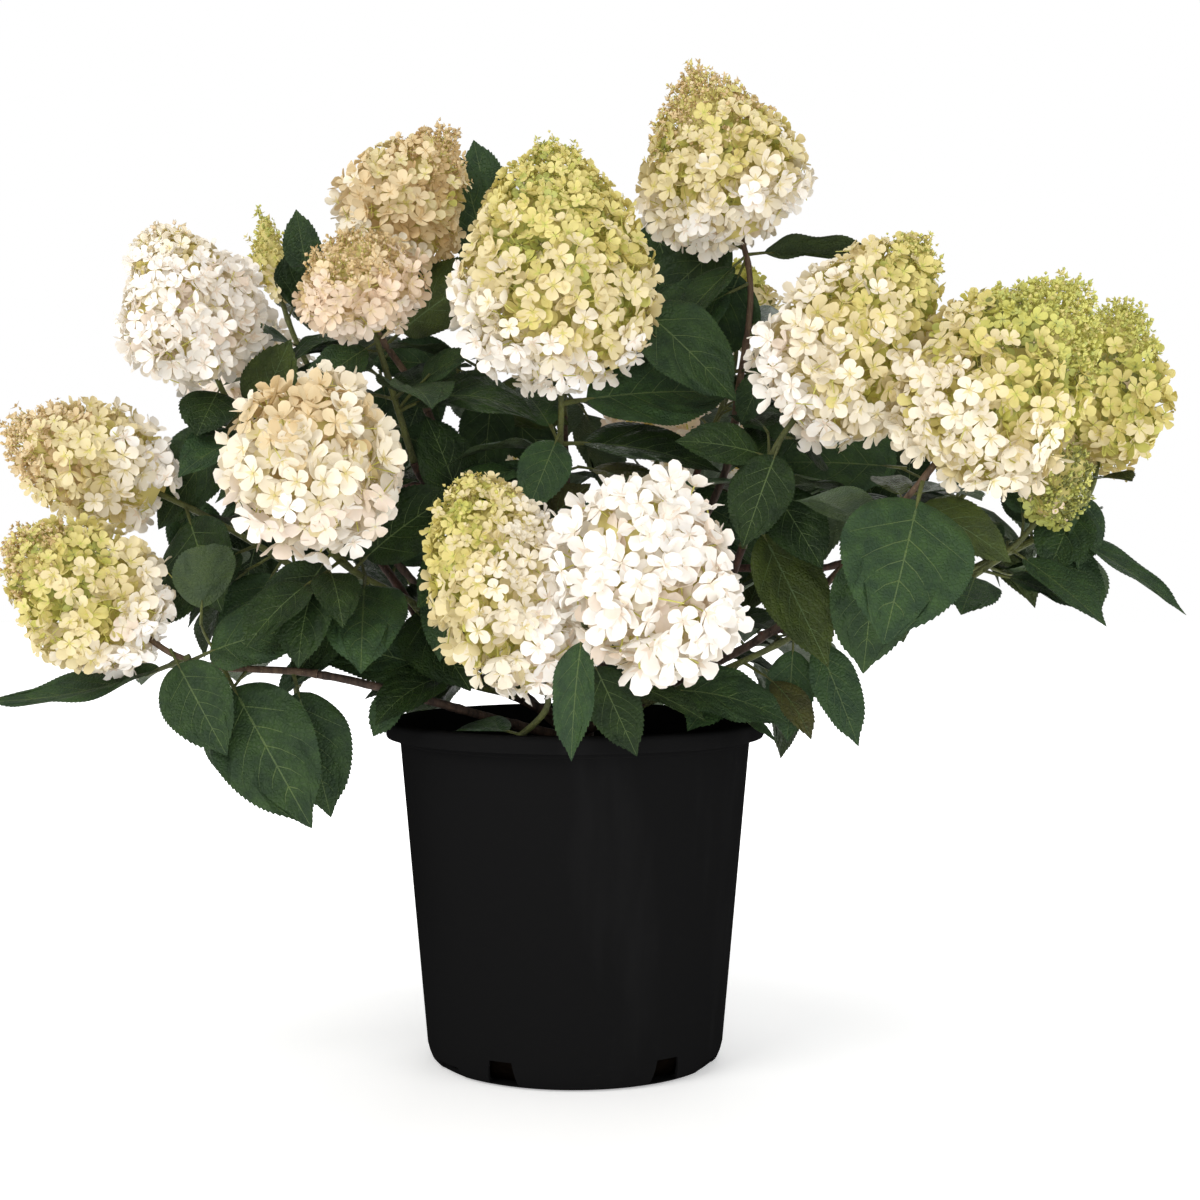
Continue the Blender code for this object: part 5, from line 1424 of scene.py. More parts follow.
class HYDRANGEA_OT_potting_mix(Operator):
    """Finish the root ball and scatter bark crumbs over its top"""

    bl_idname = "hydrangea.potting_mix"
    bl_label = "Potting Mix"

    def execute(self, context):
        settings = context.scene.hydrangea_pot
        brown = tuple(settings.soil)
        self.finish_mix(brown)
        chip = bark_finish("bark_chip", shade_of(brown, 6.0), shade_of(brown, 2.4), shade_of(brown, 10.0))
        rng = random.Random(41)
        reach = inner_radius(SOIL_TOP) - CRUMB_MARGIN
        places = []
        for i in range(int(settings.crumbs_per_area * math.pi * reach**2)):
            radius, turn = reach * math.sqrt(rng.random()), i * GOLDEN_ANGLE
            height = SOIL_TOP + rng.uniform(*CRUMB_SEAT)
            place = Vector((radius * math.cos(turn), radius * math.sin(turn), height))
            facing = Vector((rng.uniform(-0.6, 0.6), rng.uniform(-0.6, 0.6), 1)).normalized()
            places.append((place, facing, 0, rng.uniform(0.5, 1.3)))
        group = template_collection("crumbs", [crumb_mesh(i) for i in range(3)])
        tree = scatter_tree("crumb_scatter", [chip])
        mesh = scattered("bark_crumbs", places, group, tree, CRUMB_SIZE, 0.3, 5)
        drop_templates(group)
        new_piece("bark_crumbs", mesh, [])
        return {"FINISHED"}

    def finish_mix(self, brown):
        """Damp mix on the root ball's top, and a much darker mix where it meets the pot: painted shade for
        its sides and foot, which lie in shadow.
        """
        look = (140.0, 520.0, (0.82, 0.98))
        damp_values = tissue_values(brown, shade_of(brown, 2.1), *look)
        # The second finish is painted shade: the same mix made far darker, with no gloss, for the faces that
        # lie in shadow.
        painted_shade_values = tissue_values(shade_of(brown, 0.16), shade_of(brown, 0.30), *look)
        damp = finish("damp_mix", "tissue_mottle", damp_values, 1.0, 0.0012)
        packed = finish("packed_mix", "tissue_mottle", painted_shade_values, 0.4, 0.0008, Specular_IOR_Level=0.0)
        mix = frame["nodes"]["potting_mix"].data
        mix.materials.clear()
        mix.materials.append(damp)
        mix.materials.append(packed)
        # Faces that don't face upwards take the painted shade.
        for face in mix.polygons:
            face.material_index = 0 if face.normal.z > 0.3 else 1


# Limbs


def bark_relief(height, seed):
    """Ridges along a limb, as a function of a point and its turn round the limb."""

    def relief(point, turn):
        along = Vector((math.cos(turn) * 2.2, math.sin(turn) * 2.2, seed)) + point * 55
        coarse = noise.noise(along)
        fine = noise.noise(point * 620 + Vector((seed, 0, 0)))
        return height * (coarse * 1.3 + fine * 0.7)

    return relief


def jointed(radii, path, spacing, swell=0.16):
    """Swells a limb's radii at its joints."""
    gone, wide = 0.0, []
    for i, radius in enumerate(radii):
        if i:
            gone += (path[i] - path[i - 1]).length
        near = abs((gone / spacing + 0.5) % 1 - 0.5) * spacing
        wide.append(radius * (1 + swell * math.exp(-((near / JOINT_LENGTH) ** 2))))
    return wide


def add_limb(made, ends, radii, settings, seed, sides):
    """Adds one limb, ringed finely enough for its joints to show."""
    count = max(8, int((ends[2] - ends[0]).length * 1.15 / LIMB_STEP))
    path = hermite(*ends, count)
    wide = jointed(spread(*radii, count), path, settings.node_spacing)
    made.add(*swept(path, wide, sides, bark_relief(settings.relief, seed)))


class HYDRANGEA_OT_limbs(Operator):
    """Grow the trunk, canes and boughs with their bark"""

    bl_idname = "hydrangea.limbs"
    bl_label = "Trunk and Limbs"

    def execute(self, context):
        settings = context.scene.hydrangea_bark
        ridge = tuple(settings.bark)
        young_ridge = shade_of(ridge, 1.0, 0.62, 0.55)
        old = bark_finish("old_bark", ridge, shade_of(ridge, 0.28), shade_of(ridge, 2.0))
        young = bark_finish("young_bark", young_ridge, shade_of(ridge, 0.30), shade_of(ridge, 1.7))
        foot = Vector((0, 0, SOIL_TOP + SEAT_GAP))
        shares = spread(0, 1, TRUNK_RINGS)
        path = [foot + Vector((TRUNK_LEAN * s * s, 0, TRUNK_HEIGHT * s)) for s in shares]
        radii = [blended(TRUNK_RADII, s) for s in shares]
        trunk = Collected()
        trunk.add(*swept(path, radii, 40, bark_relief(settings.relief * 2.6, 3.0)))
        new_piece("trunk_bark", trunk.mesh("trunk_bark", 50), [old], ["trunk"])
        paths = rule_paths()
        canes, boughs = Collected(), Collected()
        for seed, cane in enumerate(CANES):
            made, radii, sides = (boughs, BOUGH_RADIUS, 10) if cane.parent else (canes, CANE_RADIUS, 12)
            add_limb(made, limb_ends(cane, paths), radii, settings, seed, sides)
        cane_names = [cane.name for cane in CANES if not cane.parent]
        bough_names = [cane.name for cane in CANES if cane.parent]
        new_piece("canes_bark", canes.mesh("canes_bark"), [old], cane_names)
        new_piece("boughs_bark", boughs.mesh("boughs_bark"), [young], bough_names)
        return {"FINISHED"}


# Leaves and stems


def edge_share(rib):
    """Where a row of the blade's grid that leaves the midrib at rib meets the edge."""
    return min(0.995, rib + 0.40 * math.sin(math.pi * rib**0.75))


def row_share(rib, across):
    """How far along the blade a row has come at a share across it."""
    return rib + (edge_share(rib) - rib) * across**VEIN_CURVE


def quilt_share(leaf, rib, across, step):
    """How much of the quilting fits at a place of the blade: less where its rows run close together."""

    def flat(rib, across):
        share = row_share(rib, across)
        half = leaf.width * MM / 2 * blade_half_width(share)
        return across * half, share * leaf.length * MM * (1 - PETIOLE_SHARE)

    x, y = flat(rib, across)
    next_x, next_y = flat(rib + step, across)
    out_x, out_y = flat(rib, across + 0.02)
    room = abs((next_x - x) * (out_y - y) - (next_y - y) * (out_x - x)) / math.hypot(out_x - x, out_y - y)
    return min(1.0, room / QUILT_ROOM) ** 2


def blade_surface(leaf, line, rng, settings):
    """The blade as a function of (share, across, bulge): folded, arched, wavy and quilted."""
    wave = rng.uniform(0.0004, 0.0022) * leaf.length / 100
    phase = rng.uniform(0, 2 * math.pi)
    turns = rng.uniform(1.6, 2.6)
    arch = rng.uniform(0.15, 0.55)
    half_full = leaf.width * MM / 2

    def at(share, across, bulge=0.0, lift=0.0):
        place, _, side, up = on_blade(line, share)
        half = half_full * blade_half_width(share)
        width = abs(across)
        rise = half * width * math.sin(LEAF_FOLD) * (1 - arch * width)
        ripple = math.sin(phase + turns * 2 * math.pi * share + (1.3 if across > 0 else 0))
        rise += wave * ripple * width**2 * min(1, half / FULL_WAVE_WIDTH)
        rise += settings.quilting * bulge * blended(QUILT_RISE, min(width, 1))
        return place + side * across * half * math.cos(LEAF_FOLD) + up * (rise + lift)

    return at


class Blade:
    """One leaf's toothed blade, of an upper and a lower sheet that meet at its edge."""

    def __init__(self, leaf, line, at, settings, tint, ribs):
        self.line, self.at, self.settings, self.tint = line, at, settings, tint
        self.length = leaf.length * MM * (1 - PETIOLE_SHARE)
        self.points, self.faces, self.slots = [at(0, 0), at(1, 0)], [], []
        step = 1 / (len(ribs) + 1)
        quilting = [[quilt_share(leaf, rib, across, step) for across in ACROSS] for rib in ribs]
        rows = {(r, sign): [] for r in range(len(ribs)) for sign in (-1, 1)}
        for r, rib in enumerate(ribs):
            bulge = SUNK if r % 2 else 1.0
            for sign in (-1, 1):
                for across, quilted in zip(ACROSS, quilting[r]):
                    if across == 0 and sign == 1:
                        rows[r, 1].append(rows[r, -1][0])
                        continue
                    share = row_share(rib, across)
                    spot = at(share, across * sign, bulge * quilted)
                    if across == 1:
                        rows[r, sign].append(self.edge_corner(spot))
                    else:
                        rows[r, sign].append((len(self.points), len(self.points) + 1))
                        self.points += [spot, spot - on_blade(line, share)[3] * settings.thickness]
        for sign in (-1, 1):
            self.fill_side(ribs, [rows[r, sign] for r in range(len(ribs))], sign)

    def edge_corner(self, spot):
        """Adds a corner that both sheets share, as its number in each."""
        self.points.append(spot)
        return len(self.points) - 1, len(self.points) - 1

    def fill_side(self, ribs, rows, sign):
        """Faces of one half of the blade, from its base to its tip."""
        base, tip = (0, 0), (1, 1)
        first, last = rows[0], rows[-1]
        rim = self.teeth(0.0, edge_share(ribs[0]), sign)
        self.face([base, first[0], first[1]], -sign)
        self.face([base, first[1], first[2]], -sign)
        self.face([first[2], first[3], *reversed(rim), base], -sign)
        for r, (low, high) in enumerate(zip(rows, rows[1:])):
            for a in range(len(ACROSS) - 2):
                self.face([low[a], low[a + 1], high[a + 1], high[a]], sign)
            rim = self.teeth(edge_share(ribs[r]), edge_share(ribs[r + 1]), sign)
            self.face([low[-2], low[-1], *rim, high[-1], high[-2]], sign)
        for near, far in zip(last, last[1:]):
            self.face([near, far, tip], sign)

    def face(self, corners, sign):
        """A fan of triangles in each sheet, cut alike so that the sheets stay apart."""
        for second, third in zip(corners[1:], corners[2:]):
            upper, lower = zip(corners[0], second, third)
            self.faces.append(upper if sign > 0 else upper[::-1])
            self.faces.append(lower[::-1] if sign > 0 else lower)
            self.slots.extend((self.tint, UNDERSIDE))

    def teeth(self, first, last, sign):
        """Corners of the toothed edge between two rows, from first to last."""
        count = max(1, round((last - first) * self.length / self.settings.tooth_spacing))
        spots = []
        for tooth in range(count):
            low = first + (last - first) * tooth / count
            high = first + (last - first) * (tooth + 1) / count
            peak = low + (high - low) * TOOTH_PEAK
            _, way, side, _ = on_blade(self.line, peak)
            stand = self.settings.tooth * min(1, peak * 5) * min(1, (1 - peak) * 6)
            if stand > LEAST_TOOTH:
                spots.append(self.at(peak, sign) + (side * sign + way * 0.8) * stand)
            if tooth < count - 1:
                spots.append(self.at(high, sign))
        return [self.edge_corner(spot) for spot in spots]


def add_leaf(made, leaf, root, rng, settings, tint, rows):
    """Adds one leaf: its toothed blade, its veins and its stalk."""
    line = leaf_line(root, leaf)
    at = blade_surface(leaf, line, rng, settings)
    ribs = [row / rows for row in range(1, rows)]
    blade = Blade(leaf, line, at, settings, tint, ribs)
    made.add(blade.points, blade.faces, blade.slots)
    add_veins(made, leaf, at, line, ribs)
    add_stalk(made, leaf, line)


def add_veins(made, leaf, at, line, ribs):
    """Pale ribs just proud of the blade: the midrib and one vein to each side along every other row."""
    wide = VEIN_WIDTH * leaf.length / 100
    points = []
    shares = [0.0, *ribs, 0.97]
    for share in shares:
        _, _, side, _ = on_blade(line, share)
        half = wide * (1.0 - 0.75 * share)
        centre = at(share, 0, lift=0.00016)
        points += [centre - side * half, centre + side * half]
    faces = [(2 * i, 2 * i + 1, 2 * i + 3, 2 * i + 2) for i in range(len(shares) - 1)]
    made.add(points, faces, VEIN)
    for rib in ribs[1::2]:
        if rib > LAST_VEIN:
            break
        for sign in (-1, 1):
            points = []
            for across in VEIN_STEPS:
                share = row_share(rib, across)
                _, way, _, _ = on_blade(line, share)
                half = wide * 0.52 * (1 - 0.7 * across)
                sunk = SUNK * quilt_share(leaf, rib, across, 1 / (len(ribs) + 1))
                centre = at(share, across * sign, sunk, 0.00018)
                points += [centre - way * half, centre + way * half]
            order = (0, 1, 3, 2) if sign < 0 else (0, 2, 3, 1)
            faces = [tuple(2 * i + k for k in order) for i in range(len(VEIN_STEPS) - 1)]
            made.add(points, faces, VEIN)


def add_stalk(made, leaf, line):
    """The petiole, from inside the stem to the blade."""
    shares = (-0.01, PETIOLE_SHARE * 0.5, PETIOLE_SHARE * 1.05, PETIOLE_SHARE * 1.6)
    path = [line(share)[0] for share in shares]
    radius = STALK_RADIUS * leaf.length / 100
    path[3] = path[3] - line(PETIOLE_SHARE)[3] * radius * 0.6
    made.add(*swept(path, [radius * share for share in (1.25, 1, 0.9, 0.35)], 5), slot=STALK)


class Space:
    """What already fills the plant's space, to test a new leaf or twig against."""

    def __init__(self):
        self.taken = []

    def add(self, tree, low, high):
        self.taken.append((tree, (low + high) / 2, (high - low).length / 2))

    def take(self, points, faces):
        """Takes the space of a surface if nothing is there yet, and says whether it did."""
        tree = BVHTree.FromPolygons(points, faces)
        low, high = corners_of(points)
        middle, reach = (low + high) / 2, (high - low).length / 2
        for other, centre, radius in self.taken:
            if (centre - middle).length < radius + reach and tree.overlap(other):
                return False
        self.add(tree, low, high)
        return True


def corners_of(points):
    low = Vector([min(point[i] for point in points) for i in range(3)])
    high = Vector([max(point[i] for point in points) for i in range(3)])
    return low, high


def probe_blade(leaf, root):
    """A coarse stand-in for a blade, to test for room."""
    line = leaf_line(root, leaf)
    points = [line(PETIOLE_SHARE)[0]]
    for share in (0.30, 0.55, 0.80):
        place, _, side, up = line(share)
        half = plain_half_width(leaf, share)
        rise = up * half * math.sin(LEAF_FOLD)
        points += [place - side * half + rise, place, place + side * half + rise]
    points.append(line(1)[0])
    faces = [(0, 2, 1), (0, 3, 2)]
    for row in (1, 4):
        faces += [(row, row + 1, row + 4, row + 3), (row + 1, row + 2, row + 5, row + 4)]
    faces += [(7, 8, 10), (8, 9, 10)]
    return points, faces


def in_open_sky(point):
    """Whether a point falls in one of the photo's windows of open sky, seen from the photo's camera."""
    scale = FOCAL_LENGTH / (point.y - CAMERA_PLACE.y)
    across = PHOTO_SIDE / 2 + (point.x - CAMERA_PLACE.x) * scale
    down = PHOTO_SIDE / 2 + (CAMERA_PLACE.z - point.z) * scale - CAMERA_SLOPE * FOCAL_LENGTH
    return any(((across - u) / a) ** 2 + ((down - v) / b) ** 2 < 1 for u, v, a, b in SKY_WINDOWS)


def seen_at(across, down, depth):
    """The point at a depth that the photo's camera sees at a place in the photo's frame."""
    scale = FOCAL_LENGTH / (depth - CAMERA_PLACE.y)
    right = (across - PHOTO_SIDE / 2) / scale
    drop = (down - PHOTO_SIDE / 2 + CAMERA_SLOPE * FOCAL_LENGTH) / scale
    return Vector((CAMERA_PLACE.x + right, depth, CAMERA_PLACE.z - drop))


def head_balls():
    """Balls that fill the heads that the photo shows, as (middle, radius)."""
    balls = []
    for shoot in SHOOTS:
        if shoot.tip and region_of(shoot) != "back":
            base, tip = metres(shoot.base), metres(shoot.tip)
            for s in (0.15, 0.35, 0.55, 0.75, 0.92):
                balls.append((base.lerp(tip, s), shoot.radius * MM * head_share(s, shoot.taper)))
    return balls


def hides_a_head(points, balls):
    """Whether a leaf stands in front of a flower head, seen from the photo's camera."""
    hidden = 0
    for point in points:
        reach = (point - CAMERA_PLACE).length
        way = (point - CAMERA_PLACE) / reach
        for middle, radius in balls:
            along = (middle - CAMERA_PLACE).dot(way)
            if reach < along and (middle - CAMERA_PLACE - way * along).length < radius * 0.95:
                hidden += 1
                break
    return hidden >= HIDING_POINTS


def may_show(leaf, root, balls):
    """Whether a leaf neither fills a window of sky nor stands in front of a head."""
    points, _ = probe_blade(leaf, root)
    return not any(in_open_sky(point) for point in points) and not hides_a_head(points, balls)


def fill_leaf(entry, stems, space, rng):
    """A leaf for a thin place in the crown, as (its twig, leaf, root), or None for no room."""
    across, down, depth, length, aim_across, aim_up = entry
    for more in DEPTHS_TRIED:
        middle = seen_at(across, down, (depth + more) * MM)
        aim = Vector((aim_across, rng.uniform(-0.35, 0.0), aim_up)).normalized()
        root = middle - aim * length * MM * 0.55
        start = min((point for path in stems for point in path), key=lambda point: (point - root).length)
        face = VIEWER + UP * 0.45 + Vector((rng.uniform(-0.3, 0.3), 0, 0))
        width = length * rng.uniform(0.50, 0.60)
        leaf = Leaf(0, tuple(aim), length, width, tuple(face), rng.uniform(12, 40))
        if (start - root).length < LONGEST_TWIG and space.take(*probe_blade(leaf, root)):
            return hermite(start, root - start, root + aim * 0.004, aim, TWIG_RINGS), leaf, root
    return None


def twigs_of(shoot, rng):
    """Finer side twigs of a stem: (path, leaves), by the same whorled rule as the leaves."""
    path = bare_path(shoot)
    turn = rng.uniform(0, 2 * math.pi)
    for share in TWIG_SHARES:
        root, way = on_path(path, share + rng.uniform(-0.05, 0.05))
        turn += GOLDEN_ANGLE
        out = Quaternion(way, turn) @ whorl_side(way)
        length = rng.uniform(*TWIG_LENGTH)
        arrive = (out + UP * 0.4 + way * 0.3).normalized()
        end = root + (out * 0.85 + way * 0.5).normalized() * length
        leaves = []
        for at, swing in TWIG_LEAVES:
            aim = Quaternion(arrive, swing) @ (out * 0.9 + UP * rng.uniform(-0.3, 0.35)) + arrive * 0.35
            size = rng.uniform(60, 100) * (0.8 if at < 0.6 else 1.0)
            face = UP + Vector((aim.x, aim.y, 0)) * 0.4 + VIEWER * rng.uniform(0, 0.5)
            width = size * rng.uniform(0.48, 0.60)
            leaves.append(Leaf(at, tuple(aim), size, width, tuple(face), rng.uniform(25, 60)))
        yield hermite(root, out + way * 0.8, end, arrive, TWIG_RINGS), leaves


def bare_path(shoot):
    """A stem's path, up to where its head begins."""
    path = stem_path(shoot)
    return path[:-1] if shoot.tip else path


def region_of(shoot):
    """Which side of the plant a shoot belongs to."""
    if shoot.base[1] > 105:
        return "back"
    return "left" if shoot.base[0] < -90 else "right" if shoot.base[0] > 90 else "centre"


def leaf_tint(shoot, rng):
    """A tint for one leaf: each spray leans to its own green, and a few leaves are olive or bronze."""
    own = sum(ord(letter) for letter in shoot.name) % GREENS
    roll = rng.random()
    if roll < 0.55:
        return own
    if roll < 0.90:
        return rng.randrange(GREENS)
    return GREENS if roll < 0.975 else GREENS + 1


class HYDRANGEA_OT_leaves(Operator):
    """Grow the stems, twigs and leaves of every shoot"""

    bl_idname = "hydrangea.leaves"
    bl_label = "Stems and Leaves"

    def execute(self, context):
        self.settings = context.scene.hydrangea_leaves
        self.pieces = {region: Collected() for region in REGIONS}
        self.stems = Collected()
        self.space = Space()
        self.balls = head_balls()
        paths = rule_paths()
        for shoot in SHOOTS:
            if shoot.parent:
                shoot.foot = tuple(on_path(paths[shoot.parent], shoot.at)[0] / MM)
        self.grow_rule_leaves(self.solid_surfaces())
        self.fill_thin_places()
        self.grow_twigs()
        finishes = [leaf_finish(name) for name in LEAF_SLOTS]
        for region, made in self.pieces.items():
            names = [shoot.name for shoot in SHOOTS if region_of(shoot) == region]
            new_piece(f"leaves_{region}", made.mesh(f"leaves_{region}", 70), finishes, names)
        woody = bark_finish("stem_brown", *STEM_BROWN)
        names = [shoot.name for shoot in SHOOTS]
        mesh = self.stems.mesh("stems_and_twigs")
        new_piece("stems_and_twigs", mesh, [leaf_finish("stem_green"), woody], names)
        return {"FINISHED"}

    def solid_surfaces(self):
        """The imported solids' surfaces by name, which also fill the plant's space."""
        surfaces = {}
        for name, node in frame["nodes"].items():
            points = [v.co.copy() for v in node.data.vertices]
            surfaces[name] = BVHTree.FromPolygons(points, [tuple(p.vertices) for p in node.data.polygons])
            self.space.add(surfaces[name], *corners_of(points))
        return surfaces

    def grow_rule_leaves(self, surfaces):
        """Stems, with the leaves that the solids have."""
        for index, shoot in enumerate(SHOOTS):
            path = bare_path(shoot)
            rule, shape = random.Random(100 + index), random.Random(300 + index)
            for leaf in [*shoot.leaves, *rule_leaves(shoot, path, rule)]:
                root, way = on_path(path, leaf.at)
                own = leaf in shoot.leaves
                stations = OWN_STATIONS if own else RULE_STATIONS
                found = leaf_in_solid(leaf, root, way, surfaces[shoot.name], stations)
                if found and (own or may_show(found, root, self.balls)):
                    self.grow_leaf(shoot, found, root, shape, 14 if own else 12)
            add_stem(self.stems, shoot)

    def fill_thin_places(self):
        """Leaves on short twigs, where the photo's crown is closed."""
        shape = random.Random(900)
        near = [stem_path(shoot, 12)[:-1] for shoot in SHOOTS]
        for entry in FILL_LEAVES:
            grown = fill_leaf(entry, near, self.space, shape)
            if grown:
                twig, leaf, root = grown
                tint = shape.randrange(GREENS)
                add_leaf(self.pieces["centre"], leaf, root, shape, self.settings, tint, 12)
                self.stems.add(*swept(twig, spread(0.0013, 0.0009, len(twig)), 6))

    def grow_twigs(self):
        """Finer twigs with smaller leaves, wherever there is room for them."""
        for index, shoot in enumerate(SHOOTS):
            shape = random.Random(500 + index)
            for twig, leaves in twigs_of(shoot, shape):
                grown = 0
                for leaf in leaves:
                    root, _ = on_path(twig, leaf.at)
                    if may_show(leaf, root, self.balls) and self.space.take(*probe_blade(leaf, root)):
                        self.grow_leaf(shoot, leaf, root, shape, 10)
                        grown += 1
                if grown:
                    self.stems.add(*swept(twig, spread(0.0014, 0.0009, len(twig)), 6))

    def grow_leaf(self, shoot, leaf, root, shape, rows):
        made = self.pieces[region_of(shoot)]
        add_leaf(made, leaf, root, shape, self.settings, leaf_tint(shoot, shape), rows)


def add_stem(made, shoot):
    """A shoot's stem, smooth and jointed, woody low down on the older shoots."""
    path = stem_path(shoot, STEM_DETAIL)
    radii = jointed(spread(*STEM_RADIUS, STEM_DETAIL), path, 0.06, 0.22)
    made.add(*swept(path, radii, 8), slot=1 if shoot.name in BROWN_STEMS else 0)


# Flower heads


def petal_points(length, width, cup, sag):
    """Corners of one rounded petal along +X, its outer face up: the outline, then a point on the middle."""
    flat = list(PETAL_OUTLINE) + [(x, -y) for x, y in reversed(PETAL_OUTLINE[1:-1])] + [PETAL_MIDDLE]
    points = []
    for x, y in flat:
        height = cup * (2.6 * y * y * x + 0.35 * x * x) - sag * x * x
        points.append((x * length, y * width, height * length))
    return points


def floret_mesh(index):
    """Four petals one unit across, a bead at the heart, and a stalk below."""
    shape = random.Random(70 + index)
    cup, sag = FLORET_SHAPES[index]
    points, faces, hearts = [], [], []
    for petal in range(4):
        turn = petal * math.pi / 2 + shape.uniform(-0.10, 0.10)
        length, width = 0.5 * shape.uniform(0.90, 1.08), 0.42 * shape.uniform(0.90, 1.12)
        base = len(points)
        for x, y, z in petal_points(length, width, cup + shape.uniform(-0.08, 0.08), sag):
            z += 0.012 if petal % 2 else 0.0
            across, along = math.cos(turn), math.sin(turn)
            points.append((x * across - y * along, x * along + y * across, z))
        faces += [tuple(base + i for i in face) for face in PETAL_FACES]
        hearts += [1] * HEART_FACES + [0] * (len(PETAL_FACES) - HEART_FACES)
    base, bead = len(points), 0.045
    points += [(bead, 0, 0.03), (0, bead, 0.03), (-bead, 0, 0.03), (0, -bead, 0.03), (0, 0, 0.03 + bead)]
    faces += [(base + i, base + (i + 1) % 4, base + 4) for i in range(4)]
    base = len(points)
    for height, radius in ((0.0, 0.030), (-0.62, 0.018)):
        points += [(radius * math.cos(turn), radius * math.sin(turn), height) for turn in full_turn(3)]
    faces += [(base + i, base + (i + 1) % 3, base + 3 + (i + 1) % 3, base + 3 + i) for i in range(3)]
    mesh = smooth_mesh(f"floret_{index}", points, faces)
    hearts += [2] * 4 + [0] * 3
    stalks = [False] * (len(faces) - 3) + [True] * 3
    mesh.attributes.new("heart", "INT", "FACE").data.foreach_set("value", hearts)
    mesh.attributes.new("stalk", "BOOLEAN", "FACE").data.foreach_set("value", stalks)
    return mesh


def bud_mesh(index):
    """A closed bud, a half-open floret with four small raised petals, or a pointed bud."""
    if index == 1:
        points, faces = [(0, 0, -0.2)], []
        for petal in range(4):
            turn = petal * math.pi / 2
            for reach, swing, height in ((1.1, 0.6, 0.5), (2.3, 0.0, 1.0), (1.1, -0.6, 0.5)):
                points.append((reach * math.cos(turn + swing), reach * math.sin(turn + swing), height))
            faces.append((0, 3 * petal + 3, 3 * petal + 2, 3 * petal + 1))
    else:
        sides, widest, top = (5, 0.1, 1.0) if index == 0 else (4, -0.2, 1.9)
        points = [(0, 0, -1.0), (0, 0, top)]
        points += [(math.cos(turn), math.sin(turn), widest) for turn in full_turn(sides)]
        ring = [(2 + i, 2 + (i + 1) % sides) for i in range(sides)]
        faces = [(1, a, b) for a, b in ring] + [(0, b, a) for a, b in ring]
    return smooth_mesh(f"bud_{index}", points, faces)


def smooth_mesh(name, points, faces):
    mesh = bpy.data.meshes.new(name)
    mesh.from_pydata(points, [], faces)
    mesh.shade_smooth()
    return mesh


def tint_at(bloom, s, sideways, rng):
    """A floret's tint from the head's list, at a share s of its length and a share out to the right."""
    place = s + bloom.lean * sideways + rng.gauss(0, 0.07)
    index = min(max(int(place * len(bloom.tints)), 0), len(bloom.tints) - 1)
    return TINT_NAMES.index(bloom.tints[index])


def bud_part(bloom, s):
    """The share of the places at s that hold a sprig of buds in place of a floret."""
    if bloom.buds_from >= 1:
        return 0.0
    return min(1.0, max(0.0, (s - bloom.buds_from + BUD_BLEND) / (2 * BUD_BLEND)))


def ringed_places(shoot, start, spacing_at, inset_at, rng):
    """Places (share of length, turn) in staggered rings from start to the very tip of a head."""
    length = head_frame(shoot)[-1]
    shares = spread(start, LAST_PLACE, OUTLINE_STEPS)
    rows_gone, slants = [0.0], []
    for low, high in zip(shares, shares[1:]):
        rise = shoot.radius * MM * (head_share(high, shoot.taper) - head_share(low, shoot.taper))
        slants.append(math.hypot((high - low) * length, rise))
        rows_gone.append(rows_gone[-1] + slants[-1] / (spacing_at(low) * ROW_STEP))
    rows = max(1, round(rows_gone[-1]))
    for row in range(rows + 1):
        index = min(bisect_left(rows_gone, rows_gone[-1] * row / rows), OUTLINE_STEPS - 2)
        s = shares[index]
        spacing = spacing_at(s)
        upright = (shares[index + 1] - s) * length / slants[index]
        radius = max(0.0, shoot.radius * MM * head_share(s, shoot.taper) - inset_at(s) * upright)
        count = max(1, round(2 * math.pi * radius / spacing)) if row < rows else 1
        for i in range(count):
            turn = 2 * math.pi * (i + 0.5 * (row % 2) + rng.uniform(-0.3, 0.3)) / count
            stray = rng.uniform(-0.35, 0.35) * spacing * upright / length
            yield min(LAST_PLACE, max(0.01, s + (stray if row < rows else 0))), turn


def stray_way(rng):
    return Vector((rng.gauss(0, 1), rng.gauss(0, 1), rng.gauss(0, 1)))


def open_florets(shoot, bloom, settings, rng):
    """Places of a head's open florets: an outer layer with lumps and gaps in it, and one behind it."""
    base, axis, _, _, length = head_frame(shoot)
    offset = Vector((rng.uniform(0, 50), 0, 0))

    def size_at(s):
        return bloom.size * (1.0 - (1.0 - bloom.tip_size) * max(0.0, (s - 0.30) / 0.70) ** 1.2)

    for depth, crowd in LAYERS:

        def spacing_at(s):
            return settings.floret_spacing * size_at(s) / crowd

        def inset_at(s):
            return settings.floret_width * size_at(s) * depth

        for s, turn in ringed_places(shoot, 0.02, spacing_at, inset_at, rng):
            if rng.random() < bud_part(bloom, s):
                continue
            size = size_at(s)
            width = settings.floret_width * size
            edge, out = head_point(shoot, s, turn), head_out(shoot, s, turn)
            lump = noise.noise(edge * LUMP_SCALE + offset)
            inset = depth + rng.uniform(-0.28, 0.28) - (1.10 - 0.70 * bloom.size) * lump
            if rng.random() < LOOSE_FLORETS:
                inset -= rng.uniform(0.05, 0.30)
            spot = edge - out * width * max(0.05, inset)
            facing = (out + stray_way(rng) * 0.50 + axis * 0.10 + UP * 0.08).normalized()
            sideways = (edge - base - axis * length * s).x / (shoot.radius * MM)
            below = inset - LAYERS[0][0]
            # Deeper florets take later, darker tints: painted shade of the head's depths, partly the yellower
            # young florets there.
            tint = tint_at(bloom, s + DEPTH_SHADE_SHIFT * below, sideways, rng)
            if rng.random() < below * DEEPER_SHADE_TINT:
                tint = min(tint + rng.choice((1, 1, 2)), DEEPEST_TINT)
            yield spot, facing, tint, size


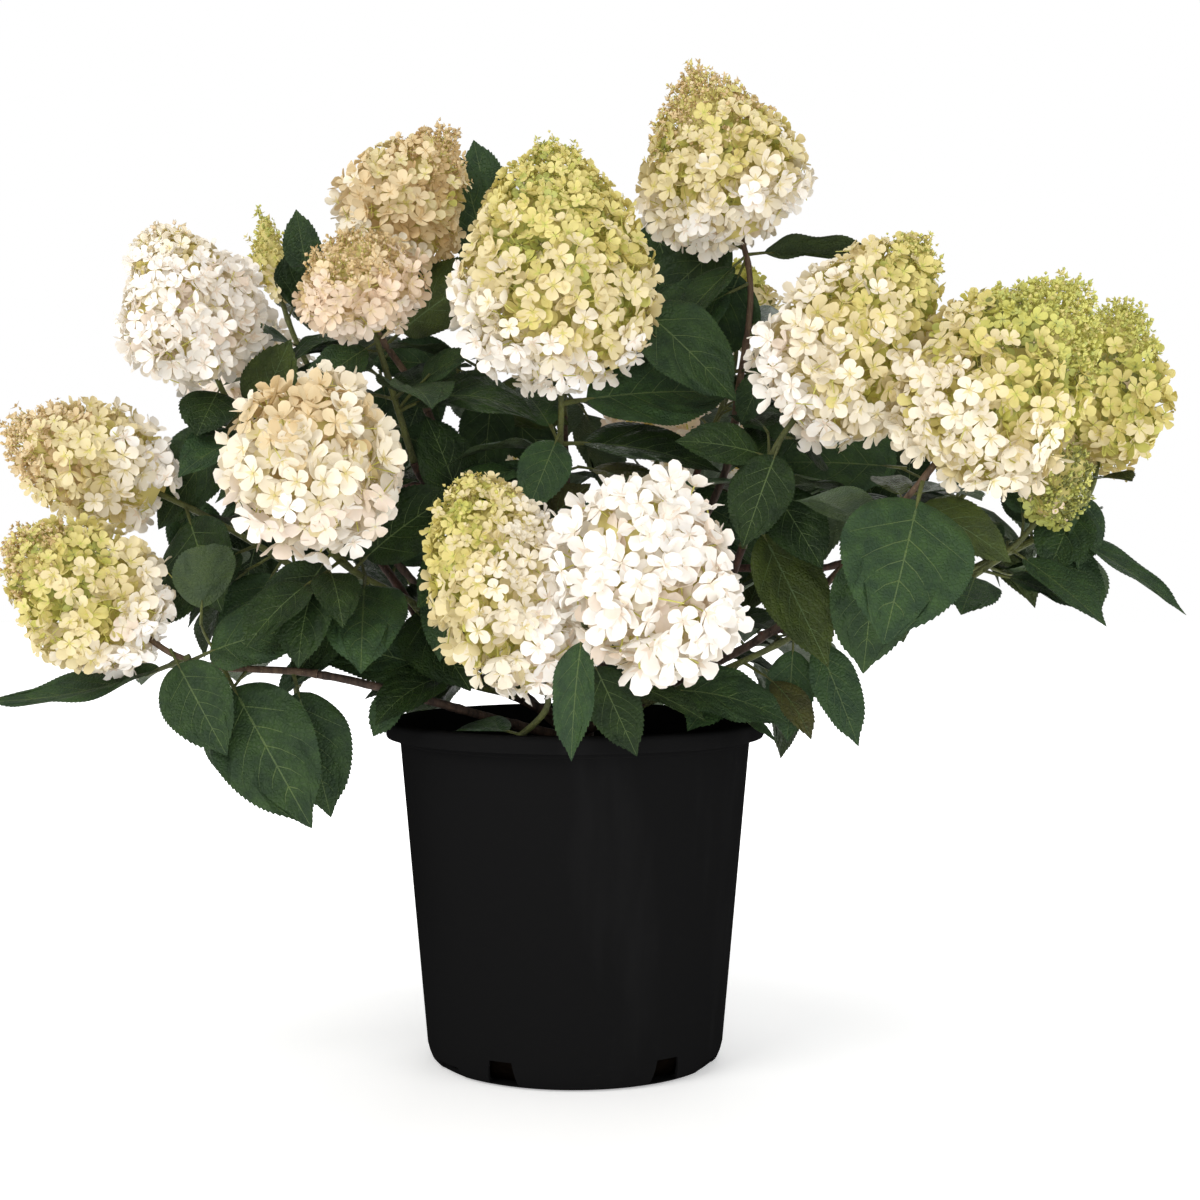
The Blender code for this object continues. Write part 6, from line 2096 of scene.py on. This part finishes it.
def bud_sprigs(shoot, bloom, rng):
    """Sprigs of buds among and beyond a head's last florets: (path of the sprig, bud places)."""
    if bloom.buds_from >= 1:
        return
    base, axis, _, _, length = head_frame(shoot)
    start = max(0.03, bloom.buds_from - BUD_BLEND)
    tint = TINT_NAMES.index(bloom.bud_tint)
    last = TINT_NAMES.index(bloom.tints[-1])
    shades = (tint, tint, last, last, max(tint - 1, 0), tint + 1)
    places = ringed_places(shoot, start, lambda _: SPRIG_SPACING, lambda _: SPRIG_INSET, rng)
    for s, turn in places:
        if rng.random() > bud_part(bloom, s):
            continue
        out = head_out(shoot, s, turn)
        grow = (out + axis * 0.6 + stray_way(rng) * 0.22).normalized()
        end = head_point(shoot, s, turn) - out * rng.uniform(0.0, 0.007) + axis * 0.003 * s
        foot = end - grow * SPRIG_LENGTH
        inner = base + axis * length * max(0.04, s - 0.14)
        buds = []
        for k in range(SPRIG_BUDS):
            back = SPRIG_LENGTH * 0.75 * k / (SPRIG_BUDS - 1)
            away = stray_way(rng)
            place = end - grow * back + away * 0.0016 * (0.5 + k / SPRIG_BUDS)
            facing = (grow + away * 0.5).normalized()
            buds.append((place, facing, rng.choice(shades), rng.uniform(0.65, 1.25)))
        yield [inner.lerp(foot, 0.35), foot, foot.lerp(end, 0.9)], buds


class HYDRANGEA_OT_flower_heads(Operator):
    """Set the florets, buds and branchlets of every flower head"""

    bl_idname = "hydrangea.flower_heads"
    bl_label = "Flower Heads"

    def execute(self, context):
        settings = context.scene.hydrangea_flowers
        tints = [petal_finish(name) for name in TINT_NAMES]
        tree = scatter_tree("blossom_scatter", tints, petal_finish("lime"))
        florets = template_collection("florets", [floret_mesh(i) for i in range(len(FLORET_SHAPES))])
        buds = template_collection("buds", [bud_mesh(i) for i in range(3)])
        places = {region: [] for region in REGIONS}
        beads = {region: [] for region in REGIONS}
        stalks = Collected()
        for index, shoot in enumerate(SHOOTS):
            if not shoot.tip:
                continue
            rng = random.Random(700 + index)
            bloom = BLOOMS[shoot.name]
            region = region_of(shoot)
            places[region] += open_florets(shoot, bloom, settings, rng)
            for path, found in bud_sprigs(shoot, bloom, rng):
                beads[region] += found
                stalks.add(*swept(path, SPRIG_RADII, 3))
            add_heart(stalks, shoot)
        heads = [shoot for shoot in SHOOTS if shoot.tip]
        for region in REGIONS:
            names = [shoot.name for shoot in heads if region_of(shoot) == region]
            size = (settings.floret_width, settings.size_spread, 11)
            mesh = scattered(f"florets_{region}", places[region], florets, tree, *size)
            new_piece(f"florets_{region}", mesh, [], names)
            mesh = scattered(f"buds_{region}", beads[region], buds, tree, settings.bud_radius, 0.2, 23)
            new_piece(f"buds_{region}", mesh, [], names)
        # The sprig stalks take lime; the bodies inside the heads take lemon, painted warm shade deep in the
        # heads.
        pair = [petal_finish("lime"), petal_finish("lemon")]
        names = [shoot.name for shoot in heads]
        new_piece("flower_stalks", stalks.mesh("flower_stalks"), pair, names)
        drop_templates(florets)
        drop_templates(buds)
        return {"FINISHED"}


def add_heart(made, shoot):
    """The tangle of stalks at the middle of a head, as one rough body that the florets hide, tinted lemon as
    painted warm shade in the head's depths.
    """
    sides, rings = 10, 8
    points = []
    for ring in range(rings):
        s = 0.08 + 0.76 * ring / (rings - 1)
        for turn in full_turn(sides):
            spot = head_point(shoot, s, turn, HEART_SHARE)
            points.append(spot + head_out(shoot, s, turn) * 0.004 * noise.noise(spot * 160))
    made.add(points, ring_faces(rings, sides), 1)


# Studio


class HYDRANGEA_OT_studio(Operator):
    """Lay the pale floor, hang the soft lights and set the camera"""

    bl_idname = "hydrangea.studio"
    bl_label = "Studio"

    def execute(self, context):
        settings = context.scene.hydrangea_studio
        context.scene.view_settings.view_transform = "Standard"
        self.floor(settings)
        self.lights(settings)
        self.surround(context.scene, settings)
        camera = new_object("photo_camera", bpy.data.cameras.new("photo_camera"))
        camera.data.lens = CAMERA_LENS
        camera.data.sensor_width = SENSOR_WIDTH
        camera.location = CAMERA_PLACE
        camera.rotation_euler = (CAMERA_AIM - CAMERA_PLACE).to_track_quat("-Z", "Y").to_euler()
        context.scene.camera = camera
        return {"FINISHED"}

    def floor(self, settings):
        """A round sheet of pale paper."""
        points = [(0, 0, 0)]
        for radius in FLOOR_RINGS:
            for turn in full_turn(FLOOR_SIDES):
                points.append((radius * math.cos(turn), radius * math.sin(turn), 0))
        faces = [(0, 1 + i, 1 + (i + 1) % FLOOR_SIDES) for i in range(FLOOR_SIDES)]
        for face in ring_faces(len(FLOOR_RINGS), FLOOR_SIDES, capped=False):
            low, next_low, next_high, high = (1 + i for i in face)
            faces.append((low, high, next_high, next_low))
        made = Collected()
        made.add(points, faces)
        sheet = new_object("studio_floor", made.mesh("studio_floor"))
        pale = tuple(settings.floor)
        values = tissue_values(pale, shade_of(pale, 0.985), 3.0, 400.0, (0.75, 0.9))
        paper = finish("studio_paper", "tissue_mottle", values, 0.02, 0.0002)
        self.fade_out(paper)
        sheet.data.materials.append(paper)

    def fade_out(self, paper):
        """Lets the floor glow towards its edge, so that it runs into the white surround with no seam."""
        tree = paper.node_tree
        shader = tree.nodes["Principled BSDF"]
        place = tree.nodes.new("ShaderNodeTexCoord").outputs["Object"]
        away = new_node(tree, "ShaderNodeVectorMath", {0: place}, operation="LENGTH")
        glow = ranged(tree, away.outputs["Value"], *GLOW_REACH, *GLOW_STRENGTH)
        colour = new_node(tree, "ShaderNodeCombineColor", {"Red": glow, "Green": glow, "Blue": glow})
        tree.links.new(colour.outputs["Color"], shader.inputs["Emission Color"])
        shader.inputs["Emission Strength"].default_value = 1.0

    def surround(self, scene, settings):
        """White all round: dimmer as a light than as the camera sees it."""
        scene.world = bpy.data.worlds.new("studio_surround")
        scene.world.use_nodes = True
        tree = scene.world.node_tree
        glow = tree.nodes["Background"]
        bright = tree.nodes.new("ShaderNodeBackground")
        for background, strength in ((glow, settings.surround), (bright, 1.0)):
            background.inputs["Color"].default_value = (1.0, 1.0, 1.0, 1)
            background.inputs["Strength"].default_value = strength
        sight = tree.nodes.new("ShaderNodeLightPath")
        sockets = {"Fac": sight.outputs["Is Camera Ray"]}
        sockets |= {1: glow.outputs["Background"], 2: bright.outputs["Background"]}
        blend = new_node(tree, "ShaderNodeMixShader", sockets)
        tree.links.new(blend.outputs["Shader"], tree.nodes["World Output"].inputs["Surface"])

    def lights(self, settings):
        """A large key light high on the left, weaker ones on the right and in front, and one behind."""
        for name, place, size, share, colour in LIGHTS:
            light = new_object(name, bpy.data.lights.new(name, "AREA"))
            light.data.shape = "DISK"
            light.data.size = size
            light.data.energy = settings.key_power * share
            light.data.color = colour
            light.location = place
            light.rotation_euler = (LIGHTS_AIM - Vector(place)).to_track_quat("-Z", "Y").to_euler()


class HYDRANGEA_PT_workshop(Panel):
    """The hydrangea's pieces, in the order they are made"""

    bl_label = "Potted Hydrangea"
    bl_idname = "HYDRANGEA_PT_workshop"
    bl_space_type = "VIEW_3D"
    bl_region_type = "UI"
    bl_category = "Hydrangea"

    def draw(self, context):
        layout = self.layout
        for operator in OPERATORS:
            layout.operator(operator.bl_idname)
        for label in SETTINGS:
            box = layout.box()
            group = getattr(context.scene, label)
            for name in group.__annotations__:
                box.prop(group, name)


OPERATORS = (
    HYDRANGEA_OT_studio,
    HYDRANGEA_OT_pot,
    HYDRANGEA_OT_potting_mix,
    HYDRANGEA_OT_limbs,
    HYDRANGEA_OT_leaves,
    HYDRANGEA_OT_flower_heads,
)
SETTINGS = {
    "hydrangea_pot": PotSettings,
    "hydrangea_bark": BarkSettings,
    "hydrangea_leaves": LeafSettings,
    "hydrangea_flowers": FlowerSettings,
    "hydrangea_studio": StudioSettings,
}


def register():
    for settings in SETTINGS.values():
        bpy.utils.register_class(settings)
    for label, settings in SETTINGS.items():
        setattr(bpy.types.Scene, label, PointerProperty(type=settings))
    for operator in OPERATORS:
        bpy.utils.register_class(operator)
    bpy.utils.register_class(HYDRANGEA_PT_workshop)


def unregister():
    bpy.utils.unregister_class(HYDRANGEA_PT_workshop)
    for operator in reversed(OPERATORS):
        bpy.utils.unregister_class(operator)
    for label, settings in SETTINGS.items():
        delattr(bpy.types.Scene, label)
        bpy.utils.unregister_class(settings)


def main():
    register()
    bpy.ops.hydrangea.studio()
    bpy.ops.hydrangea.pot()
    bpy.ops.hydrangea.potting_mix()
    bpy.ops.hydrangea.limbs()
    bpy.ops.hydrangea.leaves()
    bpy.ops.hydrangea.flower_heads()


if __name__ == "__main__":
    main()
